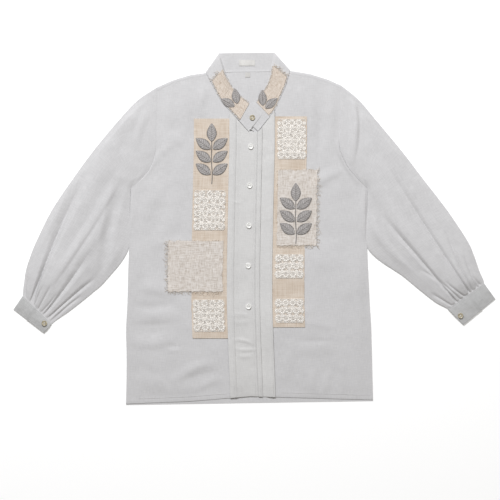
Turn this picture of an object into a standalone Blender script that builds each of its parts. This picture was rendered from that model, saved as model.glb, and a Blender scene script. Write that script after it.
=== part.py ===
# A linen shirt with a stand collar and gathered sleeves, laid out flat with its front up.
# Every cut-and-sewn piece is a closed wall of cloth with its own object. Tables hold millimetres.
# X runs across the shirt, Y up towards the collar and Z up from the surface that it lies on.
# Right and left are the wearer's, so the right front is at -X.
import math

import bmesh
import bpy
from mathutils import Matrix, Vector

MM = 0.001

# Cloth and layers
CLOTH = 1.0                 # thickness of one wall of cloth
SEAM = 0.35                 # clearance between neighbouring pieces and layers
PITCH = CLOTH + SEAM        # from one layer of cloth to the next
TURN = PITCH / 2            # radius of the middle of a folded edge
TURN_STEPS = 3              # straight steps round a folded edge

# Fastenings
BUTTON_WIDTH = 12.5
BUTTON_THICK = 2.4
BUTTON_HOLE = 1.9
BUTTON_HOLE_PITCH = 4.4
BUTTON_SIDES = 12

# Applied linen and lace
LEAF_LENGTH = 40.0
LEAF_WIDTH = 21.0
SMALL_LEAF_LENGTH = 34.0    # the two leaves on each end of the collar
SMALL_LEAF_WIDTH = 17.85
LEAF_RIM = 0.9              # height of a leaf's edge and of its midrib
LEAF_RIB = 1.7
LEAF_END = 0.6              # half the width of a leaf at its two ends
PAIR_PITCH = 28.56          # from one pair of leaves to the next up a stem
PAIR_SPREAD = 3.0           # how far a pair's stalk ends keep off the stem
PAIR_TURN = 54.0            # degrees that a pair's leaves lean out
TIP_RISE = 17.0             # from the top pair to the leaf at the tip
SCALLOP = 18.0              # length of one scallop of lace and how far it bulges
SCALLOP_DEPTH = 3.5
STRAND_PITCH = 6.2          # frayed threads: spacing, width of a bunch and middling length
STRAND_WIDTH = 1.5
STRAND_LENGTH = 7.0
STRAND_CHANGES = (0.0, 4.0, -1.5, 2.5, 5.5, 1.0, -2.5)      # added to the length of each strand in turn
STRAND_LEAN = 0.25          # share of such a change by which a strand in turn leans aside
STRAND_ROOT = 1.6           # width of the strip that holds the strands
STRAND_THICK = 0.9

# Side seams and armholes, shared by back and fronts, from the hem up to the tip of the shoulder.
SIDE_ROWS = [
    # right_x, right_y, left_x, left_y
    (-288.9, -397.0, 266.9, -388.0),
    (-287.5, -335.0, 265.0, -330.0),
    (-287.5, -280.0, 264.0, -278.0),
    (-288.5, -228.0, 262.4, -226.0),
    (-285.5, -165.0, 259.0, -163.0),
    (-284.0, -105.0, 256.0, -103.0),
    (-282.0, -44.0, 253.6, -44.0),
    (-280.5, 5.0, 253.4, 5.0),
    (-279.2, 50.0, 253.4, 50.0),
    (-277.6, 93.4, 253.4, 91.0),
    (-257.4, 109.0, 230.9, 113.6),
    (-234.9, 136.0, 208.0, 143.0),
    (-221.8, 176.6, 192.9, 181.0),
    (-220.6, 222.0, 193.4, 228.0),
    (-219.8, 266.0, 194.0, 272.0),
    (-219.2, 308.8, 194.7, 313.1),
    (-219.0, 318.0, 194.9, 322.3),
]
UNDERARM_ROW = 9            # row of the table above where side seam meets armhole
SHOULDER_SEAM_ROW = 15

# Shoulder fold of the back, and the seam that it reaches on the front: armhole to neck.
SHOULDER_FOLD = {
    "right": [(-219.0, 318.0), (-183.0, 334.0), (-145.0, 345.4), (-109.6, 350.6)],
    "left": [(194.9, 322.3), (165.0, 335.5), (125.0, 348.0), (80.1, 355.3)],
}
SHOULDER_SEAM = {
    "right": [(-219.2, 308.8), (-183.0, 324.8), (-145.0, 336.2), (-105.2, 342.4)],
    "left": [(194.7, 313.1), (165.0, 326.3), (125.0, 338.8), (77.8, 346.3)],
}
SHOULDER_STRIP_LEAN = 0.94  # share of the seam's sideways shift that the strip from the fold to it makes
BACK_NECK = [(-109.6, 350.6), (-45.2, 353.8), (16.9, 354.4), (80.1, 355.3)]
FRONT_NECK = {
    "right": [(-105.2, 342.4), (-75.2, 286.4), (-13.1, 217.6), (9.4, 218.2)],
    "left": [(77.8, 346.3), (71.8, 323.1), (46.6, 265.7), (8.8, 218.2), (-28.0, 217.4)],
}
FRONT_HEM = [(-289.0, -394.0), (-150.0, -388.5), (-11.0, -377.0), (130.0, -381.0), (267.0, -385.0)]

# Sideways sway of the placket, the tucks and what is sewn beside them, by height.
SWAY = [(-385.0, 2.0), (-260.0, -3.0), (-176.0, -5.6), (-84.0, -5.6), (6.0, -4.0),
        (96.0, -2.2), (184.0, 0.0)]

# Soft folds that stand up in the top layer: from one end to the other, half width and height.
SOFT_FOLDS = [
    # x0, y0, x1, y1, half_width, height
    (-190.0, 175.0, -272.0, 60.0, 20.0, 4.5),
    (-205.0, 60.0, -268.0, -60.0, 22.0, 3.0),
    (-272.0, -120.0, -205.0, -150.0, 20.0, 3.0),
    (-268.0, -190.0, -198.0, -205.0, 18.0, 3.5),
    (-215.0, -260.0, -120.0, -350.0, 24.0, 3.5),
    (178.0, 205.0, 248.0, 70.0, 20.0, 6.0),
    (240.0, 95.0, 236.0, -90.0, 16.0, 4.5),
    (148.0, 325.0, 154.0, 150.0, 18.0, 3.5),
    (165.0, -180.0, 235.0, -235.0, 20.0, 3.0),
    (150.0, -250.0, 165.0, -370.0, 20.0, 3.5),
    (-166.0, 320.0, -178.0, 165.0, 16.0, 2.5),
    (-250.0, 260.0, -395.0, 45.0, 24.0, 4.0),
    (-300.0, 130.0, -430.0, -60.0, 22.0, 5.0),
    (-300.0, 40.0, -370.0, -110.0, 20.0, 4.0),
    (-455.0, -20.0, -490.0, -120.0, 18.0, 4.0),
    (225.0, 255.0, 365.0, 60.0, 24.0, 4.0),
    (268.0, 120.0, 400.0, -60.0, 22.0, 5.5),
    (272.0, 35.0, 350.0, -95.0, 18.0, 4.5),
    (430.0, -5.0, 478.0, -110.0, 18.0, 4.5),
]

# Sleeves, as sections from the armhole to the cuff. outer is the folded edge away from the body.
SLEEVE_ROWS = {
    "right": [
        # outer_x, outer_y, inner_x, inner_y, puff, gather
        (-218.9, 317.9, -278.0, 93.6, 0.2, 0.0),
        (-261.9, 289.1, -278.6, 92.0, 2.0, 0.0),
        (-304.7, 244.1, -279.0, 90.0, 4.0, 0.0),
        (-360.9, 176.6, -280.0, 80.0, 6.0, 0.0),
        (-410.4, 109.1, -281.6, 45.0, 8.0, 0.0),
        (-455.4, 41.6, -284.0, -46.0, 11.0, 0.0),
        (-489.2, -25.9, -334.0, -117.0, 14.0, 0.4),
        (-504.0, -62.0, -364.0, -144.5, 14.5, 1.0),
        (-513.9, -93.4, -390.2, -166.0, 13.0, 1.8),
        (-518.0, -121.0, -420.0, -189.0, 10.0, 2.4),
        (-520.5, -140.0, -446.0, -206.5, 6.0, 2.2),
        (-521.1, -152.1, -456.3, -215.3, 3.0, 1.2),
    ],
    "left": [
        (196.0, 321.8, 253.6, 91.1, 0.2, 0.0),
        (235.4, 289.1, 254.6, 90.0, 2.0, 0.0),
        (273.6, 244.1, 254.8, 88.5, 4.0, 0.0),
        (329.9, 176.6, 255.0, 79.0, 6.0, 0.0),
        (381.6, 109.1, 255.0, 45.0, 8.0, 0.0),
        (433.4, 41.6, 256.6, -45.0, 11.0, 0.0),
        (478.4, -25.9, 334.4, -108.0, 14.0, 0.4),
        (494.0, -60.0, 367.0, -135.0, 14.5, 1.0),
        (505.4, -93.4, 399.6, -160.9, 13.0, 1.8),
        (512.0, -108.0, 414.0, -170.5, 10.0, 2.4),
        (515.6, -116.5, 428.0, -177.5, 6.0, 2.2),
        (516.6, -123.8, 435.4, -181.8, 3.0, 1.2),
    ],
}
SLEEVE_INSET = 0.6          # from a sleeve's outline to its folded edges
ARMHOLE_SHIFT = 0.945       # how far a sleeve's first row keeps off the body, to nothing at the cuff
ARMHOLE_FADE = 5.0          # rows over which a sleeve's rows turn from the armhole's curve to straight
CROWN_POWER = 3             # how flat the top of a sleeve's puff is from side to side
GATHERS = 9                 # folds gathered into each cuff
GATHER_STEPS = 4            # columns for each of them
SLEEVE_UNDER_STEPS = 9

# Cuffs by their corners: two on the sleeve's seam, two at the wrist.
CUFF_CORNERS = {
    "right": {"seam_outer": (-521.1, -152.1), "seam_inner": (-456.3, -215.3),
              "wrist_outer": (-541.6, -182.3), "wrist_inner": (-473.0, -235.1)},
    "left": {"seam_outer": (516.6, -123.8), "seam_inner": (435.4, -181.8),
             "wrist_outer": (541.6, -158.4), "wrist_inner": (470.0, -216.9)},
}
CUFF_DEPTH = 36.0
CUFF_CLEARANCE = 0.595      # between the sleeve's end and the cuff
CUFF_LAP_END = 0.42         # share of the cuff's width where the upper end stops, and the lower one
CUFF_UNDERLAP_END = 0.76

# The collar, a stand 48 mm high. Each row is one place along it: seam edge, top edge and layer.
COLLAR_ROWS = [
    # seam_x, seam_y, top_x, top_y, layer
    (-13.1, 217.6, 16.7, 255.4, 2.0),
    (-34.2, 241.0, -9.9, 284.2, 2.0),
    (-54.7, 263.7, -29.3, 300.2, 2.0),
    (-75.2, 286.4, -48.2, 320.6, 2.0),
    (-90.7, 315.3, -63.5, 345.4, 2.0),
    (-101.0, 334.6, -71.8, 370.1, 1.5),
    (-109.6, 350.6, -78.5, 394.2, 1.0),
    (-45.2, 353.8, -38.0, 395.0, 0.0),
    (16.9, 354.4, 9.0, 395.3, 0.0),
    (80.1, 355.3, 44.3, 395.3, 1.0),
    (76.0, 339.2, 38.5, 367.9, 1.0),
    (71.8, 323.1, 34.7, 347.6, 1.0),
    (59.2, 294.4, 27.2, 326.3, 1.0),
    (46.6, 265.7, 11.5, 299.3, 1.0),
    (27.7, 242.2, -5.4, 279.0, 1.0),
    (8.8, 218.7, -27.9, 252.0, 1.0),
]
COLLAR_CREASES = (6, 9)     # rows of the table above where the stand folds back on itself
COLLAR_SHARES = (0.014, 0.35, 0.68, 1.0)

# Buttons: place, layer they rest on, and turn of their two holes.
BUTTONS = [
    # name, x, y, layer, turn in degrees
    ("button_collar", -4.7, 249.3, 3, 50.0),
    ("button_front_1", -8.3, 184.3, 3, 0.0),
    ("button_front_2", -10.6, 96.5, 3, 0.0),
    ("button_front_3", -12.4, 6.5, 3, 0.0),
    ("button_front_4", -13.9, -83.9, 3, 0.0),
    ("button_front_5", -13.3, -175.7, 3, 0.0),
    ("button_cuff_right", -472.1, -213.1, 3, 44.0),
    ("button_cuff_left", 463.3, -196.2, 3, -38.0),
]

COLOURS = {
    # name: (red, green, blue), roughness
    "linen": ((0.68, 0.68, 0.68), 0.92),
    "beige_linen": ((0.64, 0.56, 0.47), 0.92),
    "coarse_linen": ((0.62, 0.57, 0.51), 0.95),
    "lace": ((0.70, 0.65, 0.58), 0.95),
    "grey_linen": ((0.31, 0.29, 0.28), 0.95),
    "pearl": ((0.75, 0.75, 0.72), 0.25),
    "horn": ((0.45, 0.42, 0.35), 0.35),
    "label": ((0.72, 0.71, 0.68), 0.80),
}


def level(layer):
    """Height of the middle of a layer of cloth above the surface."""
    return CLOTH / 2 + layer * PITCH


def lerp(a, b, share):
    return a + (b - a) * share


def value_at(rows, x):
    """Value at x on a line through rows of (x, value), in either order."""
    rows = sorted(rows)
    for (x0, y0), (x1, y1) in zip(rows, rows[1:]):
        if x <= x1:
            share = max(0.0, (x - x0) / (x1 - x0))
            return lerp(y0, y1, share)
    return rows[-1][1]


def point_along(points, share):
    """Point at a share of the length of a line through points."""
    lengths = [math.dist(a, b) for a, b in zip(points, points[1:])]
    left = share * sum(lengths)
    for a, b, length in zip(points, points[1:], lengths):
        if left <= length:
            return Vector(a).lerp(Vector(b), left / length)
        left -= length
    return Vector(points[-1])


def soft_fold_height(x, y):
    """How far the soft folds lift the top layer at a place."""
    height = 0.0
    for x0, y0, x1, y1, half_width, rise in SOFT_FOLDS:
        dx, dy = x1 - x0, y1 - y0
        share = ((x - x0) * dx + (y - y0) * dy) / (dx * dx + dy * dy)
        if not 0.0 < share < 1.0:
            continue
        off = math.hypot(x - x0 - share * dx, y - y0 - share * dy) / half_width
        if off < 1.0:
            height += rise * (1.0 - off * off) ** 2 * math.sin(math.pi * share)
    return height


def sway(y):
    return value_at(SWAY, y)


def folded_edge(x, z, side):
    """Points of a folded edge seen end on, from its upper layer to its lower one."""
    turns = [math.pi * (0.5 - k / TURN_STEPS) for k in range(TURN_STEPS + 1)]
    return [(x + side * TURN * math.cos(a), z + TURN * math.sin(a)) for a in turns]


def make_material(name):
    colour, roughness = COLOURS[name]
    material = bpy.data.materials.get(name) or bpy.data.materials.new(name)
    material.use_nodes = True
    shader = material.node_tree.nodes["Principled BSDF"]
    shader.inputs["Base Color"].default_value = (*colour, 1.0)
    shader.inputs["Roughness"].default_value = roughness
    shader.inputs["Metallic"].default_value = 0.0
    material.diffuse_color = (*colour, 1.0)
    return material


def add_object(name, mesh, material):
    made = bpy.data.objects.new(name, mesh)
    mesh.materials.clear()
    mesh.materials.append(make_material(material))
    bpy.context.collection.objects.link(made)
    return made


def finish_mesh(name, bm):
    bmesh.ops.recalc_face_normals(bm, faces=bm.faces)
    mesh = bpy.data.meshes.new(name)
    bm.to_mesh(mesh)
    bm.free()
    mesh.shade_smooth()
    mesh.set_sharp_from_angle(angle=math.radians(40.0))
    return mesh


def body_between(name, upper, lower, present=None, closed=False):
    """Closed body between two matching grids of points in mm, where present(i, j) keeps a cell."""
    columns, rows = len(upper), len(upper[0])
    bm = bmesh.new()
    grids = {"upper": upper, "lower": lower}
    corners = {}

    def corner(side, i, j):
        key = (side, i % columns, j)
        if key not in corners:
            corners[key] = bm.verts.new(grids[side][i % columns][j] * MM)
        return corners[key]

    def kept(i, j):
        if closed:
            i %= columns
        if not (0 <= i < (columns if closed else columns - 1) and 0 <= j < rows - 1):
            return False
        around = [(i, j), (i + 1, j), (i + 1, j + 1), (i, j + 1)]
        if any(upper[a % columns][b] is None for a, b in around):
            return False
        return present is None or present(i, j)

    for i in range(columns if closed else columns - 1):
        for j in range(rows - 1):
            if not kept(i, j):
                continue
            around = [(i, j), (i + 1, j), (i + 1, j + 1), (i, j + 1)]
            bm.faces.new([corner("upper", a, b) for a, b in around])
            bm.faces.new([corner("lower", a, b) for a, b in reversed(around)])
            beyond = [(i, j - 1), (i + 1, j), (i, j + 1), (i - 1, j)]
            for (a, b), (c, d), (m, n) in zip(around, around[1:] + around[:1], beyond):
                if not kept(m, n):
                    bm.faces.new([corner("lower", a, b), corner("lower", c, d),
                                  corner("upper", c, d), corner("upper", a, b)])
    return finish_mesh(name, bm)


def cloth(name, grid, material, closed=False):
    """Wall of cloth about a grid of its middle points, which may have empty places."""
    columns, rows = len(grid), len(grid[0])

    def neighbour(i, j, here):
        if closed:
            i %= columns
        if 0 <= i < columns and 0 <= j < rows and grid[i][j] is not None:
            return grid[i][j]
        return here

    upper = [[None] * rows for _ in grid]
    lower = [[None] * rows for _ in grid]
    for i in range(columns):
        for j in range(rows):
            here = grid[i][j]
            if here is None:
                continue
            across = neighbour(i + 1, j, here) - neighbour(i - 1, j, here)
            up = neighbour(i, j + 1, here) - neighbour(i, j - 1, here)
            out = across.cross(up).normalized() * (CLOTH / 2)
            upper[i][j] = here + out
            lower[i][j] = here - out
    return add_object(name, body_between(name, upper, lower, closed=closed), material)


def make_back():
    """Back, flat, with the strip at each shoulder that folds over to the front."""
    rows = SIDE_ROWS
    left, right = rows[-1][2], rows[-1][0]
    tops = ([x for x, _ in SHOULDER_FOLD["right"]] + [x for x, _ in BACK_NECK[1:-1]]
            + [x for x, _ in reversed(SHOULDER_FOLD["left"])])
    top_line = SHOULDER_FOLD["right"] + BACK_NECK[1:-1] + SHOULDER_FOLD["left"]
    neck_first = len(SHOULDER_FOLD["right"]) - 1
    neck_last = len(tops) - len(SHOULDER_FOLD["left"])
    grid = []
    for place, top_x in enumerate(tops):
        u = (top_x - right) / (left - right)
        on_shoulder = place <= neck_first or place >= neck_last
        top_y = value_at(top_line, top_x) - (PITCH if on_shoulder else SEAM)
        column = []
        for right_x, right_y, left_x, left_y in rows:
            x = lerp(right_x, left_x, u)
            side_y = lerp(right_y, left_y, u)
            side_top = lerp(rows[-1][1], rows[-1][3], u)
            side_hem = lerp(rows[0][1], rows[0][3], u)
            share = (side_y - side_hem) / (side_top - side_hem)
            column.append(Vector((x, lerp(side_hem, top_y, share), level(0))))
        if on_shoulder:
            side = "right" if place <= neck_first else "left"
            number = place if side == "right" else len(tops) - 1 - place
            seam_x, seam_y = SHOULDER_SEAM[side][number]
            end_x = lerp(top_x, seam_x, SHOULDER_STRIP_LEAN)
            for y, z in reversed(folded_edge(top_y, level(0.5), 1.0)[:-1]):
                column.append(Vector((top_x, y, z)))
            column.append(Vector((end_x, seam_y + SEAM, level(1))))
        else:
            column += [None] * (TURN_STEPS + 1)
        grid.append(column)
    cloth("back", grid, "linen")


# Section of each front from its centre edge to the foot of its last tuck: x and height.
def right_front_section():
    return ([(8.1, level(2)), (-13.1, level(2)), (-26.0, level(2)), (-33.0, level(2)),
             (-38.6, level(3)), (-41.0, level(3)), (-46.6, level(4))]
            + folded_edge(-55.3, level(3.5), -1.0)
            + [(-46.6, level(3))]
            + folded_edge(-41.0, level(1.5), 1.0)
            + [(-46.6, level(1))])


def left_front_section():
    return ([(-27.0, level(1)), (-10.0, level(1)), (8.8, level(1)), (13.2, level(3))]
            + folded_edge(17.5, level(2.5), 1.0)
            + folded_edge(14.3, level(1.5), -1.0)
            + [(20.0, level(1)), (27.0, level(1)), (31.8, level(3)), (33.4, level(3)), (38.9, level(4))]
            + folded_edge(45.7, level(3.5), 1.0)
            + [(38.9, level(3))]
            + folded_edge(33.4, level(1.5), -1.0)
            + [(38.9, level(1))])


def make_front(name, side, section, body_tops):
    """Front panel: the folded placket and tucks, then the plain cloth out to the side seam."""
    near_x = 0 if side == "right" else 2
    side_line = [(row[near_x], row[near_x + 1]) for row in SIDE_ROWS[:SHOULDER_SEAM_ROW + 1]]
    hem_y = value_at(FRONT_HEM, side_line[0][0])
    side_line[0] = (side_line[0][0] + (1.0 if side == "right" else -3.5), hem_y)
    top_line = FRONT_NECK[side] + SHOULDER_SEAM[side]
    shares = [(y - hem_y) / (side_line[-1][1] - hem_y) for _, y in side_line]
    root_x = section[-1][0]
    grid = []
    for x, z in section:
        top_y = value_at(top_line, x) - (SEAM if x != root_x else 0.0)
        column = []
        for share in shares:
            y = lerp(value_at(FRONT_HEM, x), top_y, share)
            column.append(Vector((x + sway(y), y, z)))
        grid.append(column)
    for top_x in body_tops:
        u = (top_x - root_x) / (side_line[-1][0] - root_x)
        hem_x = lerp(root_x, side_line[0][0], u)
        column = []
        for share, (side_x, _) in zip(shares, side_line):
            y = lerp(value_at(FRONT_HEM, hem_x), value_at(top_line, top_x), share)
            x = lerp(root_x + sway(y), side_x, u)
            column.append(Vector((x, y, level(1) + soft_fold_height(x, y))))
        grid.append(column)
    if side == "right":
        grid.reverse()
    cloth(name, grid, "linen")


def make_sleeve(name, side):
    """Sleeve: a flattened tube that puffs below the elbow and gathers into the cuff."""
    rows = SLEEVE_ROWS[side]
    near_x = 0 if side == "right" else 2
    out = -1.0 if side == "right" else 1.0
    armhole = [(row[near_x], row[near_x + 1]) for row in reversed(SIDE_ROWS[UNDERARM_ROW:])]
    over_steps = GATHERS * GATHER_STEPS
    edge = TURN + SLEEVE_INSET
    grid = []
    stations = [("over", k / over_steps) for k in range(over_steps + 1)]
    stations += [("inner", angle) for angle in (30.0, -30.0)]
    stations += [("under", 1.0 - k / SLEEVE_UNDER_STEPS) for k in range(SLEEVE_UNDER_STEPS + 1)]
    stations += [("outer", angle) for angle in (-30.0, 30.0)]
    for kind, place in stations:
        column = []
        for number, (outer_x, outer_y, inner_x, inner_y, puff, gather) in enumerate(rows):
            outer, inner = Vector((outer_x, outer_y)), Vector((inner_x, inner_y))
            width = (inner - outer).length
            bulge = max(0.0, 1.0 - number / ARMHOLE_FADE) ** 1.5
            if kind == "over" or kind == "under":
                share = lerp(edge / width, 1.0 - edge / width, place)
            else:
                swell = TURN * math.cos(math.radians(place))
                share = (edge - swell) / width if kind == "outer" else 1.0 - (edge - swell) / width
            chord = outer.lerp(inner, share)
            on_armhole = point_along(armhole, share)
            first = Vector(rows[0][0:2]).lerp(Vector(rows[0][2:4]), share)
            spot = chord + (on_armhole - first) * bulge
            spot.x += out * ARMHOLE_SHIFT * (1.0 - number / (len(rows) - 1.0))
            z = level(0)
            if kind == "over":
                crown = 1.0 - abs(2.0 * place - 1.0) ** CROWN_POWER
                wave = gather * (1.0 - math.cos(2.0 * math.pi * GATHERS * place)) * min(1.0, 4.0 * crown)
                z = level(1) + puff * crown + wave
                z += soft_fold_height(spot.x, spot.y) * min(1.0, 3.0 * crown) if number else 0.0
            elif kind != "under":
                z = level(0.5) + TURN * math.sin(math.radians(place))
            column.append(Vector((spot.x, spot.y, z)))
        grid.append(column)
    if side == "right":
        grid.reverse()
    cloth(name, grid, "linen", closed=True)


def make_cuff(name, side):
    """Cuff: a band rolled round the wrist, its buttoned end lying on the other one."""
    corners = {key: Vector(value) for key, value in CUFF_CORNERS[side].items()}
    width = (corners["seam_inner"] - corners["seam_outer"]).length
    path = [(CUFF_UNDERLAP_END * width, level(1)), (0.4 * width, level(1))]
    path += folded_edge(TURN, level(0.5), -1.0)
    path += [(0.5 * width, level(0))]
    for k in range(5):
        angle = math.radians(-90.0 + 45.0 * k)
        path.append((width - PITCH + PITCH * math.cos(angle), level(1) + PITCH * math.sin(angle)))
    path += [(0.7 * width, level(2)), (CUFF_LAP_END * width, level(2))]
    shares = (CUFF_CLEARANCE / CUFF_DEPTH, 0.5, 1.0)
    grid = []
    for across, z in path:
        along = across / width
        seam = corners["seam_outer"].lerp(corners["seam_inner"], along)
        wrist = corners["wrist_outer"].lerp(corners["wrist_inner"], along)
        column = []
        for share in shares:
            spot = seam.lerp(wrist, share)
            column.append(Vector((spot.x, spot.y, z)))
        grid.append(column)
    cloth(name, grid, "linen")


def collar_point(row, share, lift=0.0):
    seam_x, seam_y, top_x, top_y, layer = row
    return Vector((lerp(seam_x, top_x, share), lerp(seam_y, top_y, share), level(layer) + lift))


def make_collar():
    """Collar stand: one strip from the buttoned end round the back of the neck and forward again."""
    grid = []
    for number, row in enumerate(COLLAR_ROWS):
        if number not in COLLAR_CREASES:
            grid.append([collar_point(row, share) for share in COLLAR_SHARES])
            continue
        seam, top = Vector(row[0:2]), Vector(row[2:4])
        along = (top - seam).normalized()
        first = number == COLLAR_CREASES[0]
        outward = Vector((-along.y, along.x)) if first else Vector((along.y, -along.x))
        turn = folded_edge(0.0, level(0.5), 1.0)
        for reach, z in turn if first else reversed(turn):
            column = []
            for share in COLLAR_SHARES:
                spot = seam.lerp(top, share) + outward * reach
                column.append(Vector((spot.x, spot.y, z)))
            grid.append(column)
    cloth("collar_stand", grid, "linen")


def make_collar_trim(name, first, last, first_share, last_share):
    """Strip of beige linen on one front end of the collar, made from the collar's own points."""
    rows = COLLAR_ROWS[first:last + 1]
    start = [lerp(a, b, first_share) for a, b in zip(rows[0], rows[1])]
    end = [lerp(a, b, last_share) for a, b in zip(rows[-2], rows[-1])]
    rows = [start] + rows[1:-1] + [end]
    grid = [[collar_point(row, share, PITCH) for share in (0.1, 0.5, 0.9)] for row in rows]
    cloth(name, grid, "beige_linen")


def steps(first, last, size):
    """Evenly spaced values from first to last, about size apart."""
    count = max(1, round(abs(last - first) / size))
    return [lerp(first, last, k / count) for k in range(count + 1)]


def make_flat_piece(name, x_places, y_places, material, scallops=False):
    """Piece sewn flat on a front: places are (x, layer) across and heights up the shirt."""
    grid = []
    for number, (x, layer) in enumerate(x_places):
        edge = -1.0 if number == 0 else (1.0 if number == len(x_places) - 1 else 0.0)
        column = []
        for y in y_places:
            bulge = 0.0
            if scallops:
                bulge = edge * SCALLOP_DEPTH * abs(math.sin(math.pi * (y - y_places[0]) / SCALLOP))
            column.append(Vector((x + sway(y) + bulge, y, level(layer))))
        grid.append(column)
    cloth(name, grid, material)


def make_lace(name, x0, x1, top, scallop_count):
    """Panel of lace with scallops down both sides."""
    bottom = top - scallop_count * SCALLOP
    x_places = [(x, 3) for x in steps(x0 + SCALLOP_DEPTH, x1 - SCALLOP_DEPTH, 32.0)]
    y_places = steps(bottom, top, SCALLOP / 4.0)
    make_flat_piece(name, x_places, y_places, "lace", scallops=True)


def make_fringe(name, start, end, outward, layer):
    """Frayed edge: bunches of threads whose roots are fused into a narrow strip."""
    start, end, outward = Vector(start), Vector(end), Vector(outward)
    count = int((end - start).length / STRAND_PITCH)
    along = (end - start).normalized()
    pitch = (end - start).length / count
    outline = [start, end]
    for k in reversed(range(count)):
        near = start + along * (pitch * (k + 0.5) + STRAND_WIDTH / 2) + outward * STRAND_ROOT
        far = start + along * (pitch * (k + 0.5) - STRAND_WIDTH / 2) + outward * STRAND_ROOT
        lean = along * (STRAND_CHANGES[(k * 3) % len(STRAND_CHANGES)] * STRAND_LEAN)
        reach = outward * (STRAND_LENGTH + STRAND_CHANGES[k % len(STRAND_CHANGES)]) + lean
        outline += [near, near + reach, far + reach, far]
    bm = bmesh.new()
    z = level(layer) - CLOTH / 2
    ring = [bm.verts.new(Vector((spot.x + sway(spot.y), spot.y, z)) * MM) for spot in outline]
    face = bm.faces.new(ring)
    grown = bmesh.ops.extrude_face_region(bm, geom=[face])
    raised = [item for item in grown["geom"] if isinstance(item, bmesh.types.BMVert)]
    bmesh.ops.translate(bm, verts=raised, vec=(0.0, 0.0, STRAND_THICK * MM))
    add_object(name, finish_mesh(name, bm), "coarse_linen")


def leaf_mesh(name, length, width):
    """Leaf with a flat back, a raised midrib and its stalk end at the origin."""
    upper, lower = [], []
    stations = (0.0, 0.12, 0.3, 0.5, 0.7, 0.88, 1.0)
    for across in (-1.0, 0.0, 1.0):
        top, bottom = [], []
        for share in stations:
            half = LEAF_END + (width / 2 - LEAF_END) * math.sin(math.pi * share ** 0.85) ** 0.9
            height = LEAF_RIB if across == 0.0 else LEAF_RIM
            top.append(Vector((across * half, share * length, height)))
            bottom.append(Vector((across * half, share * length, 0.0)))
        upper.append(top)
        lower.append(bottom)
    return body_between(name, upper, lower)


def place_leaf(name, mesh, x, y, turn, layer):
    leaf = add_object(name, mesh, "grey_linen")
    leaf.location = Vector((x, y, level(layer) - CLOTH / 2)) * MM
    leaf.rotation_euler = (0.0, 0.0, math.radians(turn))


def make_sprig(name, mesh, foot_x, foot_y, layer):
    """Three pairs of leaves up a stem, with one more at its tip."""
    for pair in range(3):
        for side, letter in ((-1.0, "a"), (1.0, "b")):
            place_leaf(f"{name}_{pair + 1}{letter}", mesh, foot_x + side * PAIR_SPREAD,
                       foot_y + PAIR_PITCH * pair, -side * PAIR_TURN, layer)
    place_leaf(f"{name}_tip", mesh, foot_x, foot_y + PAIR_PITCH * 2 + TIP_RISE, 0.0, layer)


def button_mesh():
    """Round button with a raised rim, a dished face and two holes, its back on the XY plane."""
    radius = BUTTON_WIDTH / 2
    profile = [(0.0, 0.0), (radius - 0.9, 0.0), (radius, 0.9), (radius - 0.6, BUTTON_THICK),
               (radius - 2.0, BUTTON_THICK - 0.8), (0.0, BUTTON_THICK - 0.9)]
    bm = bmesh.new()
    points = [bm.verts.new(Vector((x, 0.0, z)) * MM) for x, z in profile]
    edges = [bm.edges.new(pair) for pair in zip(points, points[1:])]
    bmesh.ops.spin(bm, geom=points + edges, cent=(0, 0, 0), axis=(0, 0, 1), steps=BUTTON_SIDES,
                   angle=2.0 * math.pi, use_merge=True)
    bmesh.ops.remove_doubles(bm, verts=bm.verts, dist=0.00001)
    blank = add_object("button_blank", finish_mesh("button_blank", bm), "pearl")
    cutter_bm = bmesh.new()
    for side in (-1.0, 1.0):
        bmesh.ops.create_cone(cutter_bm, cap_ends=True, segments=6, radius1=BUTTON_HOLE / 2 * MM,
                              radius2=BUTTON_HOLE / 2 * MM, depth=8.0 * MM,
                              matrix=Matrix.Translation((side * BUTTON_HOLE_PITCH / 2 * MM, 0.0, 0.0)))
    cutter = add_object("button_cutter", finish_mesh("button_cutter", cutter_bm), "pearl")
    cut = blank.modifiers.new("holes", "BOOLEAN")
    cut.operation = "DIFFERENCE"
    cut.object = cutter
    bpy.context.view_layer.update()
    shaped = blank.evaluated_get(bpy.context.evaluated_depsgraph_get())
    mesh = bpy.data.meshes.new_from_object(shaped)
    mesh.name = "button"
    for helper in (blank, cutter):
        bpy.data.objects.remove(helper)
    return mesh


def make_buttons():
    template = button_mesh()
    for name, x, y, layer, turn in BUTTONS:
        pearl = name.startswith("button_front")
        button = add_object(name, template.copy(), "pearl" if pearl else "horn")
        button.location = Vector((x, y, level(layer) - CLOTH / 2)) * MM
        button.rotation_euler = (0.0, 0.0, math.radians(turn))


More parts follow.
